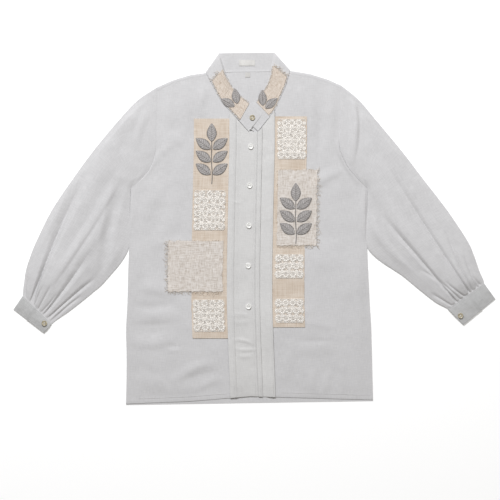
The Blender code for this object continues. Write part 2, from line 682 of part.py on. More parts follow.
def make_applied_pieces():
    """Beige bands, coarse patches, lace and leaves beside the placket, and the collar's strips."""
    heights = [y for y, _ in reversed(SWAY[2:])]
    make_flat_piece("band_right", [(-136.0, 2), (-92.0, 2), (-47.8, 2)],
                    [247.0, 220.0] + heights + [-212.0, -247.0], "beige_linen")
    make_flat_piece("band_left", [(40.2, 2), (80.0, 2), (118.0, 2)],
                    [252.0, 220.0] + heights + [-212.0, -222.0], "beige_linen")
    over_band_edge = [(-189.0, 2), (-146.5, 2), (-138.5, 3), (-100.0, 3), (-66.0, 3)]
    make_flat_piece("patch_right", over_band_edge, steps(-142.0, -28.0, 58.0), "coarse_linen")
    over_band_edge = [(55.0, 3), (90.0, 3), (120.5, 3), (128.5, 2), (143.0, 2)]
    make_flat_piece("patch_left", over_band_edge, steps(-38.0, 132.0, 45.0), "coarse_linen")
    make_fringe("fringe_right_side", (-189.9, -142.0), (-189.9, -28.0), (-1.0, 0.0), 2)
    make_fringe("fringe_right_hem", (-66.0, -142.4), (-132.0, -142.4), (0.0, -1.0), 3)
    make_fringe("fringe_left_side", (143.4, 132.0), (143.4, -38.0), (1.0, 0.0), 2)
    make_fringe("fringe_left_hem", (114.0, -38.4), (55.0, -38.4), (0.0, -1.0), 3)
    make_lace("lace_right_top", -133.0, -62.0, 86.0, 5)
    make_lace("lace_right_hem", -133.0, -62.0, -160.0, 4)
    make_lace("lace_left_top", 52.0, 116.0, 246.0, 5)
    make_lace("lace_left_middle", 52.0, 116.0, -58.0, 3)
    make_lace("lace_left_hem", 52.0, 116.0, -158.0, 3)
    make_collar_trim("collar_trim_right", 1, 5, 0.0, 0.6)
    make_collar_trim("collar_trim_left", 10, 14, 0.0, 0.6)
    leaf = leaf_mesh("leaf", LEAF_LENGTH, LEAF_WIDTH)
    make_sprig("leaf_right", leaf, -96.0, 122.0, 3)
    make_sprig("leaf_left", leaf, 93.0, -12.0, 4)
    small = leaf_mesh("small_leaf", SMALL_LEAF_LENGTH, SMALL_LEAF_WIDTH)
    for side, letter in ((-1.0, "a"), (1.0, "b")):
        place_leaf(f"leaf_collar_right_{letter}", small, -42.0 + side * 3.0, 278.0 + side * 3.0,
                   35.0 - side * 26.0, 4)
        place_leaf(f"leaf_collar_left_{letter}", small, 22.0 + side * 3.0, 274.0 - side * 3.0,
                   -24.0 - side * 26.0, 3)


def make_labels():
    """Bare neck label inside the back of the collar and the size tag below it."""
    neck = [[Vector((x, y, level(1))) for y in (366.0, 379.0)] for x in (-34.7, 1.3)]
    cloth("neck_label", neck, "label")
    tag = [[Vector((x, y, level(1))) for y in (340.5, 351.0)] for x in (-21.0, -9.5)]
    cloth("size_tag", tag, "label")


def make_shirt():
    for old in list(bpy.data.objects):
        bpy.data.objects.remove(old)
    make_back()
    make_front("front_right", "right", right_front_section(),
               [-58.0, -75.2, -90.0, -105.2, -125.0, -145.0, -164.0, -183.0, -201.0, -219.2])
    make_front("front_left", "left", left_front_section(),
               [46.6, 59.0, 71.8, 77.8, 92.0, 108.0, 125.0, 145.0, 165.0, 180.0, 194.7])
    for side in ("right", "left"):
        make_sleeve(f"sleeve_{side}", side)
        make_cuff(f"cuff_{side}", side)
    make_collar()
    make_labels()
    make_buttons()
    make_applied_pieces()


make_shirt()
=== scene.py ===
# Looks of a linen shirt laid out flat with its front up. Tables hold millimetres.
# X runs across the shirt, Y up to the collar, Z up. Right and left are the wearer's: right is at -X.
import math
import random

import bmesh
import bpy
from mathutils import Matrix, Vector, noise


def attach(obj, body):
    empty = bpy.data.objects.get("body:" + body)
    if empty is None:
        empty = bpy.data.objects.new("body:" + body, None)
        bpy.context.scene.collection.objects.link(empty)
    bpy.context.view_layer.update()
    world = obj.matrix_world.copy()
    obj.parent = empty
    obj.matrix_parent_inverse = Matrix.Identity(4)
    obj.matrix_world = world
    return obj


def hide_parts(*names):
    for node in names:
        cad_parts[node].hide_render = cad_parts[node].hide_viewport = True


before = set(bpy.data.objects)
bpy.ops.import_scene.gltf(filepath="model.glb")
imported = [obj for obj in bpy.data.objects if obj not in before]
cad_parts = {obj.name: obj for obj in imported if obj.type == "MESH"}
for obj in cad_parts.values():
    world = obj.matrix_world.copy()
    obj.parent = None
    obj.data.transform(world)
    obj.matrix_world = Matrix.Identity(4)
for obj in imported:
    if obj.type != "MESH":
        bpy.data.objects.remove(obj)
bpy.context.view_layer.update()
mm = 0.001
print("shirt: frame loaded")

# Camera, light and floor.
studio = {
    "viewX": -9.9, "viewY": -48.4,      # what the middle of the picture shows
    "viewWidth": 1125.0,                # how much cloth and floor it shows from side to side
    "cameraHeight": 6000.0,
    "sensor": 36.0,
    "floorHalf": 6000.0, "floorColour": "#f7f7f6", "floorGlow": 0.2,    # the floor shines a little
    "keyPlace": (-900.0, 3150.0, 3500.0), "keySize": 1750.0, "keyPower": 231.0, "keyColour": "#f9fbff",
    "fillPlace": (1900.0, 500.0, 3600.0), "fillSize": 2400.0, "fillPower": 19.0, "fillColour": "#ffffff",
    "skyStrength": 0.24, "skyColour": "#fff9f2",     # hollows get the warmer light
}


def linearColour(hexColour):
    values = [int(hexColour[k:k + 2], 16) / 255 for k in (1, 3, 5)]
    return [v / 12.92 if v <= 0.04045 else ((v + 0.055) / 1.055) ** 2.4 for v in values] + [1.0]


def addNode(tree, kind, settings=None, links=None):
    # a setting is one of the node's own properties or the value of one of its sockets
    node = tree.nodes.new(kind)
    for key, value in (settings or {}).items():
        if isinstance(key, str) and hasattr(node, key):
            setattr(node, key, value)
        else:
            node.inputs[key].default_value = value
    for socket, source in (links or {}).items():
        tree.links.new(source, node.inputs[socket])
    return node


def addLight(name):
    data = bpy.data.lights.new(name, "AREA")
    data.size = studio[name + "Size"] * mm
    data.energy = studio[name + "Power"]
    data.color = linearColour(studio[name + "Colour"])[:3]
    lamp = bpy.data.objects.new(name, data)
    lamp.location = Vector(studio[name + "Place"]) * mm
    lamp.rotation_euler = (Vector((0, 0, 0)) - lamp.location).to_track_quat("-Z", "Y").to_euler()
    bpy.context.collection.objects.link(lamp)


def makeStudio():
    lens = bpy.data.cameras.new("camera")
    lens.sensor_width = studio["sensor"]
    lens.lens = studio["sensor"] * studio["cameraHeight"] / studio["viewWidth"]
    camera = bpy.data.objects.new("camera", lens)
    camera.location = Vector((studio["viewX"], studio["viewY"], studio["cameraHeight"])) * mm
    bpy.context.collection.objects.link(camera)
    bpy.context.scene.camera = camera
    addLight("key")
    addLight("fill")
    world = bpy.data.worlds.new("studioSky")
    world.use_nodes = True
    sky = world.node_tree.nodes["Background"]
    sky.inputs["Color"].default_value = linearColour(studio["skyColour"])
    sky.inputs["Strength"].default_value = studio["skyStrength"]
    bpy.context.scene.world = world
    bpy.context.scene.view_settings.view_transform = "Standard"    # white linen on white stays as bright
    bm = bmesh.new()
    bmesh.ops.create_grid(bm, x_segments=1, y_segments=1, size=studio["floorHalf"] * mm)
    mesh = bpy.data.meshes.new("floor")
    bm.to_mesh(mesh)
    bm.free()
    floor = bpy.data.objects.new("floor", mesh)
    bpy.context.collection.objects.link(floor)
    paint = bpy.data.materials.new("paintedFloor")    # matt white paint, evenly pale
    paint.use_nodes = True
    shader = paint.node_tree.nodes["Principled BSDF"]
    shader.inputs["Base Color"].default_value = linearColour(studio["floorColour"])
    shader.inputs["Roughness"].default_value = 0.9
    shader.inputs["Emission Color"].default_value = linearColour(studio["floorColour"])
    shader.inputs["Emission Strength"].default_value = studio["floorGlow"]
    mesh.materials.append(paint)


makeStudio()
print("shirt: studio ready")

# Woven cloth shows its threads as fine crossing lines and its slubs, which are short thick places in
# the threads, as longer pale and dark streaks. The real threads are 0.4 to 0.5 mm apart, too fine for
# the picture, so they are drawn coarser. Every pattern follows the cut cloth by its own UV map, in metres.
weave = {
    "threadShare": 0.12,        # how much each set of threads counts in the tone, beside slubs and clouds
    "waveUnit": 0.314,          # a wave texture of scale 1 has one band in this length
    "stops": {"dark": 0.34, "middle": 0.49, "light": 0.64},     # tones at which the three colours stand
}
plainLinen = {"thread": 1.5, "slubWidth": 1.4, "slubLength": 17.0, "slubShare": 0.6, "cloud": 70.0,
              "bump": 0.35, "depth": 0.5, "rough": 0.9, "sheen": 0.12}
wovenCloths = {
    # washed plain-weave linen, off-white: matt, faintly streaked, almost without sheen
    "ivoryLinen": {**plainLinen, "dark": "#c1c0c0", "middle": "#cccbcb", "light": "#d7d6d6"},
    # the same linen over more layers of itself in the placket, drawn paler: the stacked layers send back more
    # light, and that light is painted into this copy as painted light
    "placketLinenPaintedLight": {**plainLinen, "dark": "#c7c6c5", "middle": "#d1d0ce", "light": "#dcdbd9"},
    # the same linen in the cuffs, painted a shade darker: painted shade for the shade the cuffs lie in
    "cuffLinenPaintedShade": {
        "dark": "#a9a9a8", "middle": "#b9b9b8", "light": "#c8c8c7",
        "thread": 1.5, "slubWidth": 1.5, "slubLength": 14.0, "slubShare": 0.62, "cloud": 20.0,
        "bump": 0.4, "depth": 0.6, "rough": 0.9, "sheen": 0.12,
    },
    # dyed linen of the long bands: beige, fine and even, with long slubs
    "beigeLinen": {
        "dark": "#b9a590", "middle": "#d2c4b4", "light": "#e4dace",
        "thread": 1.6, "slubWidth": 1.8, "slubLength": 40.0, "slubShare": 0.55, "cloud": 40.0,
        "bump": 0.4, "depth": 0.5, "rough": 0.92, "sheen": 0.1,
    },
    # hand-spun linen of the patches: thick and thin threads, so an open and speckled weave
    "coarseLinen": {
        "dark": "#a3968a", "middle": "#cec5bb", "light": "#e8e3de",
        "thread": 2.4, "slubWidth": 2.2, "slubLength": 15.0, "slubShare": 0.78, "cloud": 22.0,
        "bump": 0.9, "depth": 1.2, "rough": 0.95, "sheen": 0.1,
    },
    # loose linen scrim of the collar strips: pale, with small dark gaps between the threads
    "scrimLinen": {
        "dark": "#9c8a78", "middle": "#c9baaa", "light": "#e4dacf",
        "thread": 2.0, "slubWidth": 1.7, "slubLength": 9.0, "slubShare": 0.8, "cloud": 9.0,
        "bump": 0.9, "depth": 1.0, "rough": 0.95, "sheen": 0.1,
    },
    # felted grey linen of the leaves: dull, mottled and hairy, hence the stronger sheen
    "greyLinen": {
        "dark": "#726e6b", "middle": "#a19d9a", "light": "#c0bcba",
        "thread": 1.3, "slubWidth": 1.5, "slubLength": 7.0, "slubShare": 0.8, "cloud": 6.0,
        "bump": 0.8, "depth": 0.8, "rough": 0.95, "sheen": 0.2,
    },
    # woven satin ribbon of the labels: smooth, white and softly glossy
    "satinTape": {
        "dark": "#bcbab7", "middle": "#cfcdc9", "light": "#e2e0dc",
        "thread": 0.8, "slubWidth": 0.8, "slubLength": 12.0, "slubShare": 0.3, "cloud": 20.0,
        "bump": 0.2, "depth": 0.2, "rough": 0.55, "sheen": 0.2,
    },
}


def weaveMaterial(name):
    recipe = wovenCloths[name]
    material = bpy.data.materials.new(name)
    material.use_nodes = True
    tree = material.node_tree
    shader = tree.nodes["Principled BSDF"]
    place = addNode(tree, "ShaderNodeTexCoord").outputs["UV"]
    streaks = []
    wide, long = 1.0 / (recipe["slubWidth"] * mm), 1.0 / (recipe["slubLength"] * mm)
    for scale in ((wide, long, 1.0), (long, wide, 1.0)):
        stretched = addNode(tree, "ShaderNodeMapping", {"Scale": scale}, {"Vector": place})
        streaks.append(addNode(tree, "ShaderNodeTexNoise", {"Scale": 1.0, "Detail": 2.0, "Roughness": 0.6},
                               {"Vector": stretched.outputs["Vector"]}).outputs["Fac"])
    slubs = addNode(tree, "ShaderNodeMath", {"operation": "ADD"}, {0: streaks[0], 1: streaks[1]})
    threads = []
    for direction in ("X", "Y"):
        threads.append(addNode(tree, "ShaderNodeTexWave", {
            "bands_direction": direction, "Scale": weave["waveUnit"] / (recipe["thread"] * mm),
            "Distortion": 0.6, "Detail": 1.0, "Detail Scale": 0.6}, {"Vector": place}).outputs["Fac"])
    crossed = addNode(tree, "ShaderNodeMath", {"operation": "ADD"}, {0: threads[0], 1: threads[1]})
    cloud = addNode(tree, "ShaderNodeTexNoise", {"Scale": 1.0 / (recipe["cloud"] * mm), "Detail": 3.0},
                    {"Vector": place})
    # slubs, threads and clouds are added in turn, each by its share
    mixed = addNode(tree, "ShaderNodeMath", {"operation": "MULTIPLY", 1: 0.5 * recipe["slubShare"]},
                    {0: slubs.outputs[0]})
    woven = addNode(tree, "ShaderNodeMath", {"operation": "MULTIPLY_ADD", 1: weave["threadShare"]},
                    {0: crossed.outputs[0], 2: mixed.outputs[0]})
    left = 1.0 - recipe["slubShare"] - 2.0 * weave["threadShare"]
    tone = addNode(tree, "ShaderNodeMath", {"operation": "MULTIPLY_ADD", 1: max(0.05, left)},
                   {0: cloud.outputs["Fac"], 2: woven.outputs[0]})
    ramp = addNode(tree, "ShaderNodeValToRGB", None, {"Fac": tone.outputs[0]})
    for number, tint in enumerate(("dark", "light")):
        ramp.color_ramp.elements[number].position = weave["stops"][tint]
        ramp.color_ramp.elements[number].color = linearColour(recipe[tint])
    ramp.color_ramp.elements.new(weave["stops"]["middle"]).color = linearColour(recipe["middle"])
    bump = addNode(tree, "ShaderNodeBump", {"Strength": recipe["bump"], "Distance": recipe["depth"] * mm},
                   {"Height": tone.outputs[0]})
    tree.links.new(ramp.outputs["Color"], shader.inputs["Base Color"])
    tree.links.new(bump.outputs["Normal"], shader.inputs["Normal"])
    shader.inputs["Roughness"].default_value = recipe["rough"]
    shader.inputs["Sheen Weight"].default_value = recipe["sheen"]
    shader.inputs["Specular IOR Level"].default_value = 0.25
    return material


# Finishes with a fine grain and no weave, on threads unless a finish says otherwise.
plainFinishes = {
    # mercerised cotton of the lace: pale and a little lustrous
    "ivoryThread": {"dark": "#e6dfd5", "light": "#fcf9f4", "grain": 1.2, "bump": 0.3, "rough": 0.75},
    # cotton sewing thread in the linen's own colour, matt
    "stitchThread": {"dark": "#c4c3c2", "light": "#e4e3e2", "grain": 1.0, "bump": 0.2, "rough": 0.8},
    # loose ends of the coarse linen: fuzzy and matt
    "beigeThread": {"dark": "#cbbfb0", "light": "#ebe3d8", "grain": 1.2, "bump": 0.3, "rough": 0.9},
    # the few darker ends among them
    "brownThread": {"dark": "#8c7a68", "light": "#b09d8a", "grain": 1.2, "bump": 0.3, "rough": 0.9},
    # dull grey cotton of the leaves' stitches
    "greyThread": {"dark": "#4f4b49", "light": "#847f7c", "grain": 1.0, "bump": 0.3, "rough": 0.9},
    # polished white nacre: smooth, with a small clear highlight and faint clouds
    "whiteNacre": {"dark": "#e2e1dc", "light": "#fbfaf7", "grain": 5.0, "bump": 0.05, "rough": 0.22,
                   "ior": 1.53},
    # polished smoke-coloured nacre of the collar and the cuffs
    "oliveNacre": {"dark": "#91866f", "light": "#c8bfa6", "grain": 4.0, "bump": 0.05, "rough": 0.28,
                   "ior": 1.53},
}


def plainMaterial(name):
    recipe = plainFinishes[name]
    material = bpy.data.materials.new(name)
    material.use_nodes = True
    tree = material.node_tree
    shader = tree.nodes["Principled BSDF"]
    place = addNode(tree, "ShaderNodeTexCoord").outputs["Object"]
    grain = addNode(tree, "ShaderNodeTexNoise", {"Scale": 1.0 / (recipe["grain"] * mm), "Detail": 3.0},
                    {"Vector": place})
    ramp = addNode(tree, "ShaderNodeValToRGB", None, {"Fac": grain.outputs["Fac"]})
    for number, (tint, position) in enumerate({"dark": 0.3, "light": 0.65}.items()):
        ramp.color_ramp.elements[number].position = position
        ramp.color_ramp.elements[number].color = linearColour(recipe[tint])
    bump = addNode(tree, "ShaderNodeBump", {"Strength": recipe["bump"], "Distance": 0.2 * mm},
                   {"Height": grain.outputs["Fac"]})
    tree.links.new(ramp.outputs["Color"], shader.inputs["Base Color"])
    tree.links.new(bump.outputs["Normal"], shader.inputs["Normal"])
    shader.inputs["Roughness"].default_value = recipe["rough"]
    shader.inputs["IOR"].default_value = recipe.get("ior", 1.5)
    return material


materials = {name: weaveMaterial(name) for name in wovenCloths}
materials.update({name: plainMaterial(name) for name in plainFinishes})
print("shirt: materials ready")

# Lines and layers of cloth.
cloth = {
    "wall": 0.75,           # thickness drawn, nearer to the real linen's than the solid's wall is
    "pitch": 1.2,           # from one layer of cloth to the next
    "gap": 0.35,            # clearance between neighbouring pieces
    "turnSteps": 6,         # straight steps round a folded edge
    "cell": 4.0,            # size of the finest cells of a sheet
    # where the fronts' two sides are, by height: the folds fade out there
    "flatSides": ([(-397.0, -289.0), (90.0, -278.0), (140.0, -234.0), (180.0, -221.0), (320.0, -219.0)],
                  [(-397.0, 267.0), (90.0, 254.0), (145.0, 207.0), (185.0, 193.0), (320.0, 195.0)]),
    "hemHeld": (-386.0, 34.0, 0.2),     # height at which the hem lets go, over what width, from what share
    "sideHeld": (26.0, 0.35),           # the same for the sides: width and share
    "rumples": [(62.0, 1.9), (21.0, 0.6)],      # size and height of the cloth's unevenness
}


def level(layer):
    return cloth["wall"] / 2 + layer * cloth["pitch"]


def lerp(a, b, share):
    return a + (b - a) * share


def smoothStep(share):
    share = min(1.0, max(0.0, share))
    return share * share * (3.0 - 2.0 * share)


def valueAt(rows, x):
    rows = sorted(rows)
    for (x0, y0), (x1, y1) in zip(rows, rows[1:]):
        if x <= x1:
            return lerp(y0, y1, max(0.0, (x - x0) / (x1 - x0)))
    return rows[-1][1]


def curveRow(rows, place):
    # smooth values through every row of a table, at a place counted in rows
    index = min(int(place), len(rows) - 2)
    t = place - index
    near = [rows[max(0, min(len(rows) - 1, index + k))] for k in (-1, 0, 1, 2)]
    return [0.5 * (2 * b + (c - a) * t + (2 * a - 5 * b + 4 * c - d) * t * t
                   + (3 * b - a - 3 * c + d) * t ** 3) for a, b, c, d in zip(*near)]


def pointAlong(points, share):
    lengths = [(b - a).length for a, b in zip(points, points[1:])]
    left = share * sum(lengths)
    for a, b, length in zip(points, points[1:], lengths):
        if left <= length:
            return a.lerp(b, left / length)
        left -= length
    return points[-1].copy()


def spread(first, last, size):
    count = max(1, math.ceil(abs(last - first) / size))
    return [lerp(first, last, k / count) for k in range(count + 1)]


def finePath(corners, size):
    # a path seen end on, with a point about every size millimetres, and the length of cloth up to each
    fine, lengths = [corners[0]], [0.0]
    for (x0, z0), (x1, z1) in zip(corners, corners[1:]):
        count = max(1, round(math.hypot(x1 - x0, z1 - z0) / size))
        fine += [(lerp(x0, x1, k / count), lerp(z0, z1, k / count)) for k in range(1, count + 1)]
    for (x0, z0), (x1, z1) in zip(fine, fine[1:]):
        lengths.append(lengths[-1] + math.hypot(x1 - x0, z1 - z0))
    return fine, lengths


def foldedEdge(x, z, side):
    # points of a folded edge seen end on, from its upper layer to its lower one
    turn = cloth["pitch"] / 2
    angles = [math.pi * (0.5 - k / cloth["turnSteps"]) for k in range(cloth["turnSteps"] + 1)]
    return [(x + side * turn * math.cos(a), z + turn * math.sin(a)) for a in angles]


# Folds in the laid-out cloth, each on a curve through three places: half width, height and lean.
# A height below 0 makes a trough. A lean above 0 makes the side to the right of the curve steeper.
bodyFolds = [
    # wearer's right, beside the armhole and down the side
    ((-150, 205), (-182, 196), (-212, 170), 26, 1.8, 0.0),
    ((-196, 120), (-228, 70), (-250, 20), 26, 1.8, 0.0),
    ((-160, 40), (-196, 0), (-216, -50), 28, 1.3, 0.0),
    ((-276, -20), (-262, -70), (-268, -130), 18, 2.0, 0.0),
    ((-262, -128), (-220, -138), (-168, -146), 24, 1.7, 0.3),
    ((-280, -168), (-236, -176), (-176, -168), 14, -1.2, 0.0),
    ((-284, -200), (-226, -198), (-160, -190), 22, 1.9, 0.0),
    ((-286, -217), (-232, -216), (-186, -213), 5, -0.7, 0.0),
    ((-280, -250), (-226, -258), (-176, -240), 26, 2.0, 0.3),
    ((-198, -258), (-182, -265), (-168, -262), 6, -0.9, 0.0),
    ((-196, -272), (-180, -276), (-164, -270), 7, 0.9, 0.3),
    ((-188, -350), (-140, -318), (-92, -304), 20, 2.2, 0.4),
    ((-144, -372), (-108, -350), (-74, -338), 14, 1.8, 0.3),
    ((-150, -344), (-120, -330), (-78, -320), 7, -0.9, 0.0),
    ((-266, -330), (-230, -346), (-196, -350), 24, 1.4, 0.0),
    ((-224, -300), (-216, -330), (-220, -372), 18, 1.0, 0.0),
    # wearer's right, chest and shoulder
    ((-188, 318), (-194, 250), (-186, 196), 15, 1.6, 0.0),
    ((-112, 330), (-120, 290), (-118, 250), 14, 1.8, 0.3),
    ((-150, 330), (-156, 280), (-150, 210), 22, 1.3, 0.0),
    ((-170, 170), (-166, 100), (-176, 20), 24, 1.1, 0.0),
    # two broad swells across the placket and the wearer's left
    ((-70, -210), (80, -216), (250, -200), 84, 2.6, 0.0),
    ((60, -84), (150, -94), (252, -86), 80, 2.4, 0.0),
    # wearer's left, beside the armhole and down the side
    ((124, 84), (158, 112), (196, 130), 20, 2.0, 0.3),
    ((150, 60), (184, 78), (228, 84), 22, 0.6, 0.0),
    ((228, -70), (236, -150), (240, -250), 18, 1.4, 0.0),
    ((88, -206), (140, -216), (190, -226), 13, 0.8, 0.3),
    ((90, -250), (134, -254), (188, -250), 7, -0.7, 0.0),
    ((82, -268), (134, -272), (200, -262), 22, 1.0, 0.0),
    ((128, -318), (134, -350), (146, -380), 12, 2.4, 0.0),
    ((134, -326), (140, -348), (146, -368), 8, -1.7, 0.0),
    ((168, -318), (162, -350), (156, -378), 12, 2.0, 0.0),
    ((216, -260), (226, -310), (232, -360), 18, 1.3, 0.0),
    ((80, -250), (78, -300), (74, -350), 20, 1.2, 0.0),
    ((196, -300), (200, -336), (196, -372), 13, 1.1, 0.0),
    # wearer's left, chest and shoulder
    ((140, 296), (148, 230), (142, 138), 11, -1.9, 0.0),
    ((124, 326), (126, 250), (122, 170), 15, 1.6, 0.0),
    ((168, 322), (174, 250), (166, 170), 17, 2.2, 0.0),
    ((96, 322), (106, 290), (110, 236), 12, 1.6, 0.0),
    # crinkles across the placket
    ((-50, -196), (-30, -194), (-6, -200), 5, 1.2, 0.4),
    ((-48, -210), (-28, -212), (-4, -207), 4, 1.0, 0.0),
    ((-46, -254), (-26, -252), (0, -262), 6, 1.6, 0.4),
    ((-46, -270), (-22, -274), (4, -272), 6, 1.7, 0.4),
    ((-40, -286), (-20, -288), (0, -284), 5, 1.0, 0.0),
    ((-50, 60), (-36, 58), (-22, 61), 4, 0.7, 0.0),
    ((20, 120), (32, 118), (46, 121), 4, 0.8, 0.0),
    ((20, 20), (34, 22), (46, 18), 4, 0.7, 0.0),
    ((22, -84), (34, -82), (46, -86), 4, 0.8, 0.0),
]
# The fronts' own edges roll up along the armholes and the side, clear of the sleeves.
edgeFolds = [
    ((-190, 192), (-228, 150), (-270, 96), 15, 1.6, 0.3),
    ((-268, 88), (-272, 40), (-272, 0), 10, 1.4, 0.0),
    ((186, 204), (206, 150), (246, 94), 13, 4.6, -0.3),
    ((247, 100), (247, 34), (249, -30), 10, 3.6, -0.3),
]
sleeveFolds = [
    # wearer's right: long soft ridges from the shoulder, and a hollow towards the elbow's inner side
    ((-240, 286), (-320, 196), (-384, 70), 30, 2.8, 0.2),
    ((-300, 180), (-385, 60), (-446, -60), 26, 2.6, 0.0),
    ((-306, 106), (-383, -19), (-466, -138), 17, 3.0, -0.6),
    ((-322, 44), (-362, -20), (-398, -84), 20, 2.4, 0.0),
    ((-400, 138), (-446, 44), (-490, -62), 13, 2.6, 0.3),
    ((-298, -24), (-310, -66), (-352, -124), 14, 2.2, 0.0),
    ((-230, 280), (-256, 226), (-266, 170), 14, 2.0, 0.0),
    ((-296, 112), (-328, -8), (-340, -116), 19, -5.4, 0.0),
    # wearer's left
    ((216, 300), (229, 232), (218, 142), 15, 4.4, -0.5),
    ((240, 262), (310, 170), (366, 50), 28, 2.6, 0.0),
    ((258, 130), (320, 20), (412, -104), 26, 2.4, -0.2),
    ((256, 30), (300, -40), (374, -120), 17, 2.6, -0.3),
    ((330, 200), (402, 90), (456, -36), 28, 2.8, 0.3),
    ((256, 40), (262, 0), (284, -40), 14, 2.2, 0.0),
]
# Valleys between the gathers above the cuffs, from where each starts to where it meets the cuff's seam:
# half width at the start, depth. They narrow to the cuff.
gathers = {
    "cuffWidth": 4.4, "sharp": 1.5,
    "right": [
        ((-380, 120), (-443, -14), (-504, -172), 24, 9.0), ((-462, -60), (-477, -98), (-500, -175), 6, 6.0),
        ((-364, -40), (-408, -110), (-475, -197), 18, 4.2),
        ((-350, -106), (-396, -142), (-467, -205), 10, 3.4),
        ((-384, -150), (-414, -170), (-460, -212), 7, 2.2), ((-508, -60), (-514, -110), (-516, -158), 7, 3.0),
        ((-474, -126), (-484, -148), (-496, -176), 5, 2.2),
        ((-452, -118), (-470, -152), (-488, -185), 6, 2.4),
        ((-438, -138), (-460, -168), (-482, -191), 5, 1.8)],
    "left": [
        ((280, 172), (388, -2), (486, -148), 14, 5.0), ((270, 48), (352, -46), (457, -169), 13, 5.0),
        ((424, 20), (449, -54), (492, -144), 9, 3.4), ((468, -50), (482, -92), (502, -137), 7, 2.8),
        ((362, -90), (408, -113), (466, -163), 9, 2.8), ((392, -142), (418, -158), (447, -176), 7, 2.6),
        ((484, -98), (497, -116), (510, -130), 5, 2.2), ((424, -114), (448, -136), (476, -155), 6, 3.0)],
}
foldCurveSteps = 10


def foldPath(start, middle, end, halfWidth):
    # points along the curve, and the box that its fold stays in
    bend = [2 * m - (s + e) / 2 for s, m, e in zip(start, middle, end)]
    line = []
    for k in range(foldCurveSteps + 1):
        t = k / foldCurveSteps
        line.append(Vector([(1 - t) ** 2 * s + 2 * t * (1 - t) * b + t * t * e
                            for s, b, e in zip(start, bend, end)]))
    low = [min(p[k] for p in line) - halfWidth for k in (0, 1)]
    high = [max(p[k] for p in line) + halfWidth for k in (0, 1)]
    return line, low, high


def foldPaths(folds):
    return [(*foldPath(*fold[:4]), *fold[3:]) for fold in folds]


def nearestOn(line, x, y):
    # distance to a line, the share of its length there, and which side of it the place is on
    best = None
    for number, (a, b) in enumerate(zip(line, line[1:])):
        dx, dy = b.x - a.x, b.y - a.y
        share = ((x - a.x) * dx + (y - a.y) * dy) / (dx * dx + dy * dy)
        held = min(1.0, max(0.0, share))
        offX, offY = x - a.x - held * dx, y - a.y - held * dy
        away = math.hypot(offX, offY)
        if best is None or away < best[0]:
            best = (away, (number + held) / foldCurveSteps, dx * offY - dy * offX)
    return best


def foldLift(paths, x, y):
    # how far the folds lift the cloth at a place
    lift = 0.0
    for line, low, high, halfWidth, height, lean in paths:
        if low[0] < x < high[0] and low[1] < y < high[1]:
            away, along, turn = nearestOn(line, x, y)
            steep = lean if turn < 0.0 else -lean
            off = away / halfWidth * (1.0 + max(0.0, steep) * 1.5)
            if off < 1.0 and 0.0 < along < 1.0:
                lift += height * (1.0 - off * off) ** 2 * math.sin(math.pi * along) ** 0.8
    return lift


def gatherDrop(paths, x, y):
    # how deep the gathers' valleys are at a place, smooth where two of them run together
    drop = 0.0
    for line, low, high, halfWidth, depth in paths:
        if low[0] < x < high[0] and low[1] < y < high[1]:
            away, along, _ = nearestOn(line, x, y)
            off = away / lerp(halfWidth, gathers["cuffWidth"], along)
            if off < 1.0:
                drop += (depth * smoothStep(along * 2.2) * (1.0 - off) ** gathers["sharp"]) ** 3
    return drop ** (1.0 / 3.0)


bodyPaths, edgePaths, sleevePaths = foldPaths(bodyFolds), foldPaths(edgeFolds), foldPaths(sleeveFolds)
gatherPaths = {side: foldPaths(gathers[side]) for side in ("right", "left")}


def rumple(x, y, size, height):
    # fine unevenness that handled linen keeps, from 0 to height
    value = noise.noise(Vector((x / size, y / size, 3.7)))
    value += 0.5 * noise.noise(Vector((x * 2 / size, y * 2 / size, 9.1)))
    return height * min(1.0, max(0.0, 0.5 + 0.5 * value))


def bodyLift(x, y):
    # the cloth lies flatter along its hem and its sides
    inside = min(x - valueAt(cloth["flatSides"][0], y), valueAt(cloth["flatSides"][1], y) - x)
    (hemY, hemWidth, hemShare), (sideWidth, sideShare) = cloth["hemHeld"], cloth["sideHeld"]
    loose = lerp(hemShare, 1.0, smoothStep((y - hemY) / hemWidth))
    loose *= lerp(sideShare, 1.0, smoothStep(inside / sideWidth))
    rise = foldLift(bodyPaths, x, y)
    for size, height in cloth["rumples"]:
        rise += rumple(x, y, size, height)
    return loose * rise


def makeSheet(name, columns, rows, place, material, wall=None, closed=False, other=None):
    # place(i, j) gives a point of the cloth's middle and its place on the uncut cloth, or None for no cloth;
    # other names a second material and the number of columns from the first that it covers
    bm = bmesh.new()
    bmesh.ops.create_grid(bm, x_segments=columns - 1, y_segments=rows - 1, size=0.5)
    cut, bare = {}, []
    if other:
        for face in bm.faces:
            column = (face.calc_center_median().x + 0.5) * (columns - 1)
            face.material_index = 1 if column < other[1] else 0
    for vert in bm.verts:
        found = place(round((vert.co.x + 0.5) * (columns - 1)), round((vert.co.y + 0.5) * (rows - 1)))
        if found is None:
            bare.append(vert)
            continue
        vert.co = Vector(found[0]) * mm
        cut[vert] = Vector(found[1]) * mm
    bmesh.ops.delete(bm, geom=bare, context="VERTS")
    layer = bm.loops.layers.uv.new("cut")
    for face in bm.faces:
        for loop in face.loops:
            loop[layer].uv = cut[loop.vert]
    if closed:
        bmesh.ops.remove_doubles(bm, verts=bm.verts, dist=0.01 * mm)
    mesh = bpy.data.meshes.new(name)
    bm.to_mesh(mesh)
    bm.free()
    mesh.materials.append(materials[material])
    if other:
        mesh.materials.append(materials[other[0]])
    piece = bpy.data.objects.new(name, mesh)
    bpy.context.collection.objects.link(piece)
    solid = piece.modifiers.new("wall", "SOLIDIFY")
    solid.thickness = (wall or cloth["wall"]) * mm
    solid.offset = 0.0
    return bakeShape(piece)


